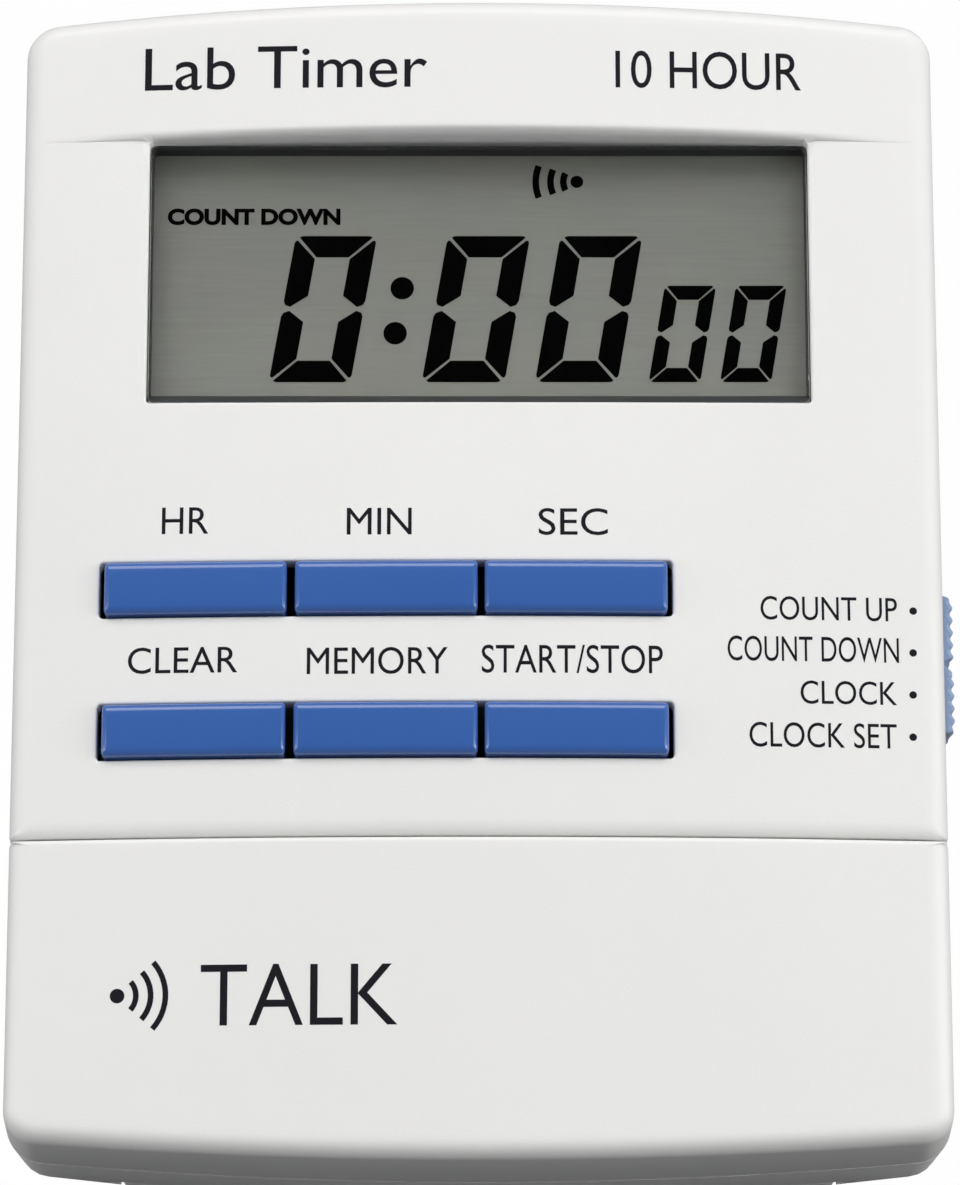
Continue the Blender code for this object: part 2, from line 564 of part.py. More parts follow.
def mode_switch():
    """Right-angle slide switch on the board's edge, its lever, and the ribbed knob that drives it."""
    shell = box((0.0215, -0.0158, BOARD_HIGH_Z + GAP), (0.0292, -0.0002, 0.0149))
    body = make("mode_switch_body", shell, BLACK_PLASTIC)
    combine(body, "DIFFERENCE", box((0.0262, -0.0143, 0.0116), (0.0300, -0.0016, 0.0143)))
    store(body, bake(body))

    lever = box((0.0265, KNOB_Y - 0.0010, 0.0119), (0.0312, KNOB_Y + 0.0010, 0.0140))
    make("mode_switch_lever", lever, BLACK_PLASTIC, (0.0265, KNOB_Y, KNOB_Z))

    outer_x = WIDTH / 2 + KNOB_PROUD
    half_y, half_z = KNOB_LENGTH / 2, KNOB_HEIGHT / 2
    cap = box((0.0318, KNOB_Y - half_y, KNOB_Z - half_z), (outer_x, KNOB_Y + half_y, KNOB_Z + half_z))
    knob = make("mode_knob", cap, KNOB_BLUE)
    combine(knob, "UNION", box((0.0315, KNOB_Y - 0.0066, 0.0103), (0.0328, KNOB_Y + 0.0066, 0.0156)))
    combine(knob, "UNION", box((0.0298, KNOB_Y - 0.0026, 0.0112), (0.0318, KNOB_Y + 0.0026, 0.0146)))
    combine(knob, "DIFFERENCE", box((0.0290, KNOB_Y - 0.0013, 0.0105), (0.0315, KNOB_Y + 0.0013, 0.0150)))
    rib_pitch = half_y / (KNOB_RIB_COUNT + 0.5)
    grooves = []
    for side in (-1, 1):
        for rib in range(1, KNOB_RIB_COUNT + 1):
            y = KNOB_Y + side * rib_pitch * (rib + (0.3 if rib > 1 else 0.1))
            low, high = (outer_x + 0.00005, y, KNOB_Z - 0.004), (outer_x + 0.00005, y, KNOB_Z + 0.004)
            grooves.append(rod(0.00028, low, high, 8))
    combine(knob, "DIFFERENCE", together(*grooves))
    valley_x = outer_x + 0.0004
    valley = rod(0.0011, (valley_x, KNOB_Y, KNOB_Z - 0.004), (valley_x, KNOB_Y, KNOB_Z + 0.004), 4)
    combine(knob, "DIFFERENCE", valley)
    shaped = bake(knob)
    origin = Vector((outer_x, KNOB_Y, KNOB_Z))
    bmesh.ops.translate(shaped, verts=shaped.verts, vec=-origin)
    knob.location = origin
    store(knob, shaped)


# ---------------------------------------------------------------- speaker

def turned(name, profile, finish, centre, steps=36):
    """A solid of revolution from a closed (radius, height) profile that runs down its outer side."""
    mesh = bpy.data.meshes.new(name)
    count = len(profile)
    mesh.from_pydata([(r, 0, z) for r, z in profile], [(i, (i + 1) % count) for i in range(count)], [])
    obj = bpy.data.objects.new(name, mesh)
    obj.location = centre
    PARTS.objects.link(obj)
    mesh.materials.append(finish)
    screw = obj.modifiers.new("Turn", "SCREW")
    screw.steps = steps
    screw.render_steps = steps
    screw.use_merge_vertices = True
    screw.merge_threshold = 0.00001
    return obj


def speaker():
    """Small cone speaker that faces the grille in the back: a steel basket, a paper cone and a magnet."""
    rim = SPEAKER_RADIUS
    basket = [(rim, 0.0032), (rim, 0.0023), (rim - 0.0012, 0.0023), (rim - 0.0012, 0.0029),
              (0.0072, 0.0049), (0.0072, 0.0056), (0.0080, 0.0056)]
    turned("speaker_frame", basket, STEEL, (0, SPEAKER_Y, 0))
    cone = [(rim - 0.0015, 0.0026), (rim - 0.0015, 0.0023), (0.0040, 0.0041), (0.0012, 0.0035),
            (0.0012, 0.0038), (0.0040, 0.0045)]
    turned("speaker_cone", cone, PAPER, (0, SPEAKER_Y, 0))
    magnet = rod(0.0068, (0, SPEAKER_Y, 0.0059), (0, SPEAKER_Y, 0.0084), 32)
    make("speaker_magnet", magnet, FERRITE)


def lead(name, points, radius, finish):
    """A short insulated lead along a smooth route."""
    curve = bpy.data.curves.new(name, "CURVE")
    curve.dimensions = "3D"
    curve.bevel_depth = radius
    curve.bevel_resolution = 2
    curve.use_fill_caps = True
    route = [Vector(point) for point in points]
    smooth = []
    for index in range(len(route) - 1):
        before, start = route[max(index - 1, 0)], route[index]
        end, after = route[index + 1], route[min(index + 2, len(route) - 1)]
        for step in range(4):
            t = step / 4
            smooth.append(0.5 * (2 * start + (end - before) * t
                                 + (2 * before - 5 * start + 4 * end - after) * t ** 2
                                 + (3 * start - before - 3 * end + after) * t ** 3))
    smooth.append(route[-1])
    spline = curve.splines.new("POLY")
    spline.points.add(len(smooth) - 1)
    for point, place in zip(spline.points, smooth):
        point.co = (*place, 1)
    obj = bpy.data.objects.new(name, curve)
    PARTS.objects.link(obj)
    curve.materials.append(finish)


def leads():
    """Thin leads between the board and the speaker, the cells' contacts and the talk switch."""
    lead("speaker_lead_red", [(-0.0086, 0.0212, 0.0068), (-0.0100, 0.0180, 0.0072), (-0.0110, 0.0140, 0.0080),
                              (-0.0110, 0.0120, 0.0089)], 0.0004, RED_LEAD)
    lead("speaker_lead_black", [(0.0086, 0.0212, 0.0068), (0.0100, 0.0180, 0.0072), (0.0110, 0.0140, 0.0080),
                                (0.0110, 0.0120, 0.0089)], 0.0004, BLACK_LEAD)
    low, high = CELL_ROWS
    plus_route = [(-0.0303, high, 0.0108), (-0.0305, high + 0.0050, 0.0106), (-0.0300, -0.0165, 0.0095),
                  (-0.0280, -0.0130, 0.0085), (-0.0255, -0.0110, 0.0088)]
    lead("battery_lead_red", plus_route, 0.0005, RED_LEAD)
    minus_route = [(-0.0303, low, 0.0108), (-0.0312, low + 0.0060, 0.0108), (-0.0318, -0.0220, 0.0106),
                   (-0.0315, -0.0160, 0.0086), (-0.0285, -0.0090, 0.0080), (-0.0255, -0.0070, 0.0088)]
    lead("battery_lead_black", minus_route, 0.0005, BLACK_LEAD)
    for name, x, finish in (("talk_lead_red", -0.0014, RED_LEAD), ("talk_lead_black", 0.0014, BLACK_LEAD)):
        lead(name, [(x, -0.0243, 0.01445), (x, -0.0225, 0.01445), (x, -0.0195, 0.0143), (x, -0.0175, 0.0130),
                    (x, -0.0158, 0.0118), (x, -0.0154, 0.0108)], 0.00025, finish)


# ---------------------------------------------------------------- battery bay

def cells():
    """Two AAA cells that lie across the case in opposite directions, nub end drawn down."""
    for name, y, way in (("battery_lower", CELL_ROWS[0], -1), ("battery_upper", CELL_ROWS[1], 1)):
        body_end, nub_end = 0.0213, 0.0222
        jacket = rod(CELL_RADIUS, (-way * 0.0223, y, CELL_Z), (way * body_end, y, CELL_Z), 28)
        cell = make(name, jacket, CELL_JACKET)
        combine(cell, "UNION", rod(0.0019, (way * 0.0200, y, CELL_Z), (way * nub_end, y, CELL_Z), 16))
        store(cell, bake(cell))


def coil(name, start_x, end_x, y, wide, narrow, turns, wire):
    """A conical contact spring along X."""
    curve = bpy.data.curves.new(name, "CURVE")
    curve.dimensions = "3D"
    curve.bevel_depth = wire
    curve.bevel_resolution = 1
    curve.use_fill_caps = True
    steps = int(turns * 12)
    spline = curve.splines.new("POLY")
    spline.points.add(steps)
    for step, point in enumerate(spline.points):
        share = step / steps
        angle = 2 * math.pi * turns * share
        radius = wide + (narrow - wide) * share
        point.co = (start_x + (end_x - start_x) * share, y + radius * math.cos(angle),
                    CELL_Z + radius * math.sin(angle), 1)
    obj = bpy.data.objects.new(name, curve)
    PARTS.objects.link(obj)
    curve.materials.append(NICKEL)


def contacts():
    """A bridge plate at the right end joins the cells; two plates at the left end carry the leads."""
    low, high = CELL_ROWS
    right = BAY_X - GAP
    plate_low = (right - PLATE_THICKNESS, low - PLATE_REACH, PLATE_LOW_Z)
    bridge = make("contact_bridge", box(plate_low, (right, high + PLATE_REACH, PLATE_HIGH_Z)), NICKEL)
    combine(bridge, "UNION", rod(0.0024, (right - 0.0034, high, CELL_Z), (right - 0.0002, high, CELL_Z), 20))
    store(bridge, bake(bridge))
    for name, y, bump in (("contact_minus", high, False), ("contact_plus", low, True)):
        left = -right
        sheet_high = (left + PLATE_THICKNESS, y + PLATE_REACH, PLATE_HIGH_Z)
        plate = make(name, box((left, y - PLATE_REACH, PLATE_LOW_Z), sheet_high), NICKEL)
        combine(plate, "UNION", box((left - 0.0026, y - 0.0007, 0.0103), (left + 0.0002, y + 0.0007, 0.0109)))
        if bump:
            combine(plate, "UNION", rod(0.0024, (left + 0.0002, y, CELL_Z), (left + 0.0034, y, CELL_Z), 20))
        store(plate, bake(plate))
    coil("battery_spring_lower", right - 0.0012, 0.0229, low, 0.0034, 0.0022, 3, 0.0003)
    coil("battery_spring_upper", -right + 0.0012, -0.0229, high, 0.0034, 0.0022, 3, 0.0003)


def battery_door():
    """Sliding cover cut from the same outer form as the back, with a tongue along each side."""
    door = make("battery_door", rear_solid(), CASE_WHITE)
    combine(door, "INTERSECT", box((-DOOR_X, -0.048, -0.001), (DOOR_X, BAY_HIGH_Y - GAP, DOOR_THICKNESS)))
    tongue = DOOR_X + DOOR_TONGUE
    combine(door, "UNION", box((-tongue, -0.0428, 0.0010), (tongue, BAY_HIGH_Y - GAP, DOOR_THICKNESS)))
    grip_rows = (-0.0395, -0.0380, -0.0365)
    grips = [box((-0.0070, y - 0.0004, -0.001), (0.0070, y + 0.0004, 0.0004)) for y in grip_rows]
    combine(door, "DIFFERENCE", together(*grips))
    store(door, bake(door))


# ---------------------------------------------------------------- back: kickstand, magnets, screws

def kickstand():
    """Flip-out leg: a plate with a shallow panel in its face, and a barrel with two trunnions on its edge."""
    plate = box((-STAND_X, STAND_LOW_Y, 0.0), (STAND_X, STAND_AXIS_Y, STAND_THICKNESS))
    leg = make("kickstand", plate, CASE_WHITE)
    combine(leg, "UNION", stand_axis_rod(0.00125, STAND_X, 20))
    combine(leg, "UNION", stand_axis_rod(TRUNNION_RADIUS, STAND_X + 0.0013, 16))
    combine(leg, "DIFFERENCE", box((-0.0095, -0.0080, -0.001), (0.0095, 0.0035, 0.0005)))
    shaped = bake(leg)
    origin = Vector((0, STAND_AXIS_Y, STAND_AXIS_Z))
    bmesh.ops.translate(shaped, verts=shaped.verts, vec=-origin)
    leg.location = origin
    store(leg, shaped)


def magnets():
    for side, (x, y) in zip(("left", "right"), MAGNETS):
        make(f"magnet_{side}", rod(MAGNET_RADIUS, (x, y, 0.0001), (x, y, 0.0016), 28), NICKEL)


def screw(name, x, y, head_z, head_radius, head_height, shank_radius, tip_z):
    """A pan-head screw that points along +Z, with a cross recess in its head."""
    head = rod(head_radius * 0.8, (x, y, head_z), (x, y, head_z + head_height), 20, head_radius)
    obj = make(name, head, STEEL)
    combine(obj, "UNION", rod(shank_radius, (x, y, head_z + head_height / 2), (x, y, tip_z), 14))
    depth, arm, half = head_height * 0.55, head_radius * 0.55, head_radius * 0.13
    combine(obj, "DIFFERENCE", box((x - arm, y - half, head_z - 0.001), (x + arm, y + half, head_z + depth)))
    combine(obj, "DIFFERENCE", box((x - half, y - arm, head_z - 0.001), (x + half, y + arm, head_z + depth)))
    store(obj, bake(obj))


def screws():
    places = ("upper_left", "upper_right", "lower_left", "lower_right")
    for place, (x, y) in zip(places, CASE_SCREWS):
        screw(f"case_screw_{place}", x, y, 0.0009, 0.0020, 0.0014, 0.0010, 0.0140)
    for place, (x, y) in zip(places, BOARD_SCREWS):
        screw(f"board_screw_{place}", x, y, 0.0079, 0.0019, 0.0012, 0.0009, 0.0150)


# ---------------------------------------------------------------- talk switch

def talk_switch():
    """A small board on the bay's roof with the tactile switch that the bar presses."""
    y = -0.0280
    board = box((-0.0060, y - 0.0040, BAY_TOP_Z + GAP), (0.0060, y + 0.0034, 0.0152))
    make("talk_board", board, BOARD_GREEN)
    shell = box((-0.0030, y - 0.0030, 0.0155), (0.0030, y + 0.0030, 0.0166))
    body = make("talk_switch_body", shell, BLACK_PLASTIC)
    combine(body, "DIFFERENCE", rod(0.0019, (0, y, 0.0150), (0, y, 0.0170), 20))
    store(body, bake(body))
    plunger = rod(0.0016, (0, y, 0.0162), (0, y, 0.0176), 20)
    make("talk_switch_plunger", plunger, BLACK_PLASTIC, (0, BAR_AXIS_Y, BAR_AXIS_Z))


front_housing()
talk_bar()
rear_housing()
bar_hinge_pin()
display()
main_board()
board_components()
key_mat()
keys()
mode_switch()
speaker()
leads()
cells()
contacts()
battery_door()
kickstand()
magnets()
screws()
talk_switch()
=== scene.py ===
import json
import math

import bmesh
import bpy
import numpy as np
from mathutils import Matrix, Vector
from mathutils.geometry import delaunay_2d_cdt


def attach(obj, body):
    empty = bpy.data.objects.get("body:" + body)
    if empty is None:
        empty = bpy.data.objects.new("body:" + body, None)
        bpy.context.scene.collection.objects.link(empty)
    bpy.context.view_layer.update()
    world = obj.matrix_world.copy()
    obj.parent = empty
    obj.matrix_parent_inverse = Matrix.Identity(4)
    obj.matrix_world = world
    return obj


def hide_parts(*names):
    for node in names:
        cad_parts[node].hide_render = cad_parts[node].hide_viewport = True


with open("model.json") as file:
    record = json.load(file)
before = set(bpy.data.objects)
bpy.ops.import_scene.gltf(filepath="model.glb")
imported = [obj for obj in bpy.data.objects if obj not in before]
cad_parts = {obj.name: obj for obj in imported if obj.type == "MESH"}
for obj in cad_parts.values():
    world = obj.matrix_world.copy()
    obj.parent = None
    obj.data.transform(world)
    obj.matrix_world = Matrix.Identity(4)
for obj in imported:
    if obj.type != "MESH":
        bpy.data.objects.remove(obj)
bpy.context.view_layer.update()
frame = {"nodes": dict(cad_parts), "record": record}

# ------------------------------------------------------------------------------------------------
# The bench: a pale floor that the timer lies on, a softbox beyond its header, one high on each side, a low
# strip on each side and room light with a dark ceiling.
# The floor shows near white and throws little light back, so that the bottom end stays shaded.

FLOOR_Z = -0.0002
FLOOR_SIZE = 6.0


def shader_material(name):
    """A new node material: returns it with its tree's nodes and its Principled shader."""
    made = bpy.data.materials.new(name)
    made.use_nodes = True
    nodes = made.node_tree.nodes
    return made, nodes, nodes["Principled BSDF"]


def wire(source, output, target, socket):
    """Links one node's output to another node's input socket."""
    source.id_data.links.new(source.outputs[output], target.inputs[socket])


def put_values(node, **values):
    """Sets a node's input sockets by name, with underscores for spaces."""
    for socket, value in values.items():
        node.inputs[socket.replace("_", " ")].default_value = value


def colour_mix(nodes, blend="MIX", **values):
    """A node that mixes or multiplies two colours."""
    mix = nodes.new("ShaderNodeMix")
    mix.data_type, mix.blend_type = "RGBA", blend
    put_values(mix, **values)
    return mix


def surface_object(name, points, faces, finish, smooth_angle=40):
    """A mesh object from an array of points and a list of faces, shaded smooth up to an angle."""
    mesh = bpy.data.meshes.new(name)
    mesh.from_pydata(np.asarray(points).tolist(), [], [tuple(int(i) for i in face) for face in faces])
    mesh.validate()
    mesh.materials.append(finish)
    mesh.shade_smooth()
    mesh.set_sharp_from_angle(angle=math.radians(smooth_angle))
    obj = bpy.data.objects.new(name, mesh)
    bpy.context.scene.collection.objects.link(obj)
    return obj


bench_white, nodes, shader = shader_material("bench_white")
put_values(shader, Base_Color=(0.16, 0.16, 0.16, 1), Roughness=0.9)
speckle = nodes.new("ShaderNodeTexNoise")
put_values(speckle, Scale=60.0, Detail=3.0)
speckle_range = nodes.new("ShaderNodeMapRange")
put_values(speckle_range, To_Min=0.986, To_Max=1.0)
glow = nodes.new("ShaderNodeEmission")
seen = nodes.new("ShaderNodeLightPath")
choice = nodes.new("ShaderNodeMixShader")
wire(speckle, "Fac", speckle_range, "Value")
wire(speckle_range, "Result", glow, "Color")
wire(seen, "Is Camera Ray", choice, "Fac")
wire(shader, "BSDF", choice, 1)
wire(glow, "Emission", choice, 2)
wire(choice, "Shader", nodes["Material Output"], "Surface")

half_floor = FLOOR_SIZE / 2
floor_corners = [(-half_floor, -half_floor, FLOOR_Z), (half_floor, -half_floor, FLOOR_Z),
                 (half_floor, half_floor, FLOOR_Z), (-half_floor, half_floor, FLOOR_Z)]
bench = surface_object("bench", floor_corners, [(0, 1, 2, 3)], bench_white)

world = bpy.data.worlds.new("room")
bpy.context.scene.world = world
world.use_nodes = True
room = world.node_tree.nodes
put_values(room["Background"], Color=(0.93, 0.95, 1.0, 1.0))
toward, upward, dimmed = (room.new(kind) for kind in
                          ("ShaderNodeTexCoord", "ShaderNodeSeparateXYZ", "ShaderNodeMapRange"))
put_values(dimmed, From_Min=0.60, From_Max=0.88, To_Min=0.26, To_Max=0.004)
wire(toward, "Generated", upward, "Vector")
wire(upward, "Z", dimmed, "Value")
wire(dimmed, "Result", room["Background"], "Strength")


def softbox(name, place, target, size, power, colour=(1, 1, 1)):
    """A rectangular area light that faces a target."""
    light = bpy.data.lights.new(name, "AREA")
    light.shape = "RECTANGLE"
    light.size, light.size_y = size
    light.energy = power
    light.color = colour
    obj = bpy.data.objects.new(name, light)
    obj.location = place
    obj.rotation_euler = (Vector(target) - Vector(place)).to_track_quat("-Z", "Y").to_euler()
    bpy.context.scene.collection.objects.link(obj)


softbox("header_softbox", (0.0, 0.78, 0.80), (0, 0, 0.02), (1.3, 0.55), 8.9, (1.0, 0.98, 1.0))
softbox("left_softbox", (-0.62, 0.0, 0.90), (0, 0, 0.02), (0.4, 0.3), 1.15)
softbox("right_softbox", (0.62, 0.0, 0.90), (0, 0, 0.02), (0.4, 0.3), 1.35)
softbox("left_strip", (-0.85, -0.02, 0.25), (0, 0, 0.01), (0.25, 1.1), 3.8)
softbox("right_strip", (0.85, -0.02, 0.25), (0, 0, 0.01), (0.25, 1.1), 5.8)

AIM = Vector((0.0001, -0.0022, 0.020))
CAMERA_DISTANCE = 0.400
ELEVATION = math.radians(75)
camera_data = bpy.data.cameras.new("camera")
camera_data.lens = 161.1
camera_data.clip_start = 0.01
camera = bpy.data.objects.new("camera", camera_data)
bpy.context.scene.collection.objects.link(camera)
camera.location = AIM + CAMERA_DISTANCE * Vector((0, -math.cos(ELEVATION), math.sin(ELEVATION)))
camera.rotation_euler = (AIM - camera.location).to_track_quat("-Z", "Y").to_euler()
bpy.context.scene.camera = camera
bpy.context.scene.view_settings.view_transform = "Standard"

# ------------------------------------------------------------------------------------------------
# Front housing: the upper shell, injection moulded in white ABS with a crowned face, a brow over the
# display, two key slots and the knob's slot. Four screws from the back hold it on the rear housing.

WIDTH, TOP_Y, BOTTOM_Y, DEPTH = 0.0711, 0.0460, -0.0454, 0.0200
SPLIT, WALL, GAP = 0.0098, 0.0020, 0.0003
END_RADIUS, CORNER_TOP, CORNER_BOTTOM, SIDE_DRAFT = 0.380, 0.0030, 0.0028, 0.0003
CROWN_RADIUS, SCOOP_DEPTH, SCOOP_END_Y = 0.356, 0.00135, -0.0180
BROW_LOW_Y, BROW_CREST_Y = 0.0343, 0.0349
BROW_ARCH, ARCH_HALF_X, ARCH_LEVEL_Y, ARCH_END_Y = 0.0004, 0.030, BROW_CREST_Y + 0.0004, 0.0440
FACE_FILLET = 0.0014
SEAM_Y, SEAM_GAP = -0.0209, 0.00016
DISPLAY_X, DISPLAY_LOW_Y, DISPLAY_HIGH_Y = 0.0255, 0.0131, BROW_LOW_Y
KEY_COLUMNS, KEY_ROWS = (-0.0214, -0.006975, 0.00735), (-0.00173, -0.01278)
KEY_WIDTH, KEY_HEIGHT, KEY_GAP = 0.01385, 0.0040, 0.00018
SLOT_LOW_X, SLOT_HIGH_X = -0.0287, 0.01465
KNOB_Y, KNOB_Z, KNOB_LENGTH, KNOB_HEIGHT, KNOB_PITCH = -0.0065, 0.0129, 0.0108, 0.0042, 0.00323


def smooth_step(share):
    """0 below 0, 1 above 1 and 3t^2 - 2t^3 between."""
    share = np.clip(share, 0.0, 1.0)
    return share * share * (3 - 2 * share)


def face_height(x, y):
    """Height of the face: a crown of x^2 / 2R, and below the brow the deeper of the crown and a scoop that
    fades back into it towards the seam. The brow climbs from one to the other in a quarter ellipse, steep
    at its foot and level at its crest."""
    crown = x * x / (2 * CROWN_RADIUS)
    fade = smooth_step((BROW_LOW_Y - y) / (BROW_LOW_Y - SCOOP_END_Y))
    scoop = SCOOP_DEPTH - (SCOOP_DEPTH - crown) * fade
    soft = 0.00012
    scoop = (crown + scoop + np.sqrt((crown - scoop) ** 2 + soft * soft)) / 2 - soft / 2 * fade
    short_of_crest = 1 - np.clip((y - BROW_LOW_Y) / (BROW_CREST_Y - BROW_LOW_Y), 0, 1)
    climb = np.sqrt(1 - short_of_crest ** 2)
    return DEPTH - scoop - (crown - scoop) * climb


def arched(x, y):
    """The Y that a point of the face moves to: the brow and the top of the display are bowed upwards by
    BROW_ARCH, a parabola over X that fades out towards the display's foot and the header's end."""
    reach = smooth_step((y - DISPLAY_LOW_Y) / (BROW_LOW_Y - DISPLAY_LOW_Y))
    reach = reach * smooth_step((ARCH_END_Y - y) / (ARCH_END_Y - ARCH_LEVEL_Y))
    return y + BROW_ARCH * reach * np.clip(1 - (x / ARCH_HALF_X) ** 2, 0, 1)


def half_ring(end, corner_radius, seam, seam_corner, side_inset, end_inset, seam_inset):
    """Right half of a shell's outline from the middle of the seam round to the middle of the bowed end,
    drawn in by three insets. Straight runs and arcs have fixed counts, so that all rings match.
    Returns x, y and a weight that is 1 on the seam, 0 on the side and end, and turns in the corner."""
    x_side = WIDTH / 2 - side_inset
    y_seam = seam + seam_inset
    tight = max(seam_corner - (side_inset + seam_inset) / 2, 0.00004)
    turn = np.linspace(-math.pi / 2, 0, 9)
    along = np.linspace(0, 1, 46)[:-1]
    seam_x = (x_side - tight) * along
    corner_x = x_side - tight + tight * np.cos(turn)
    corner_y = y_seam + tight + tight * np.sin(turn)

    radius, reach = END_RADIUS - end_inset, end - end_inset
    round_ = max(corner_radius - (side_inset + end_inset) / 2, 0.0004)
    lean = math.asin((x_side - round_) / radius)
    centre_x = x_side - round_
    touch_x = centre_x + round_ * math.sin(lean)
    touch_y = reach - radius + math.sqrt(radius ** 2 - touch_x ** 2)
    centre_y = touch_y - round_ * math.cos(lean)
    bend = np.linspace(0, math.pi / 2 - lean, 17)
    side_y = np.linspace(corner_y[-1], centre_y, 60)[1:-1]
    end_x = touch_x * (1 - np.linspace(0, 1, 40)[1:])
    end_y = reach - radius + np.sqrt(radius ** 2 - end_x ** 2)

    side_x, seam_y = np.full(len(side_y), x_side), np.full(len(seam_x), y_seam)
    x = np.concatenate([seam_x, corner_x, side_x, centre_x + round_ * np.cos(bend), end_x])
    y = np.concatenate([seam_y, corner_y, side_y, centre_y + round_ * np.sin(bend), end_y])
    weight = np.zeros(len(x))
    weight[:len(seam_x)] = 1.0
    weight[len(seam_x):len(seam_x) + 9] = smooth_step(np.linspace(1, 0, 9))
    return x, y, weight


def whole_ring(*shape):
    """A closed outline: the right half and its mirror image, without doubling the two middle points."""
    x, y, weight = half_ring(*shape)
    return (np.concatenate([x, -x[-2:0:-1]]), np.concatenate([y, y[-2:0:-1]]),
            np.concatenate([weight, weight[-2:0:-1]]))


def round_rectangle(centre, half, radius, corner_points=5, step=None):
    """A rectangle with round corners as points, counter-clockwise from its right side. Each straight run is
    cut about every step, or without a step into ten, so that rings of different sizes match."""
    (cx, cy), (hx, hy) = centre, half
    radius = min(radius, hx * 0.98, hy * 0.98)
    turn = np.linspace(0, math.pi / 2, corner_points)
    arcs = []
    for quarter, (sx, sy) in enumerate(((1, 1), (-1, 1), (-1, -1), (1, -1))):
        angle = turn + quarter * math.pi / 2
        arcs.append(np.stack([cx + sx * (hx - radius) + radius * np.cos(angle),
                              cy + sy * (hy - radius) + radius * np.sin(angle)], 1))
    ring = []
    for index, arc in enumerate(arcs):
        run = arcs[(index + 1) % 4][0] - arc[-1]
        count = max(int(np.linalg.norm(run) / step), 1) if step else 10
        ring += [arc, arc[-1] + run * np.linspace(0, 1, count + 1)[1:-1, None]]
    return np.concatenate(ring)


def loop_distance(points, centre, half, radius):
    """Distance outside a rectangle with round corners, negative inside."""
    out = np.abs(points - np.asarray(centre)) - (np.asarray(half) - radius)
    return np.linalg.norm(np.maximum(out, 0), axis=1) + np.minimum(out.max(axis=1), 0) - radius


def place_index(points, place):
    """Index of the point nearest to a place."""
    return int(np.argmin(((points - place) ** 2).sum(axis=1)))


RIM_STEP = 0.0009       # distance between points along an opening's rim and along the brow


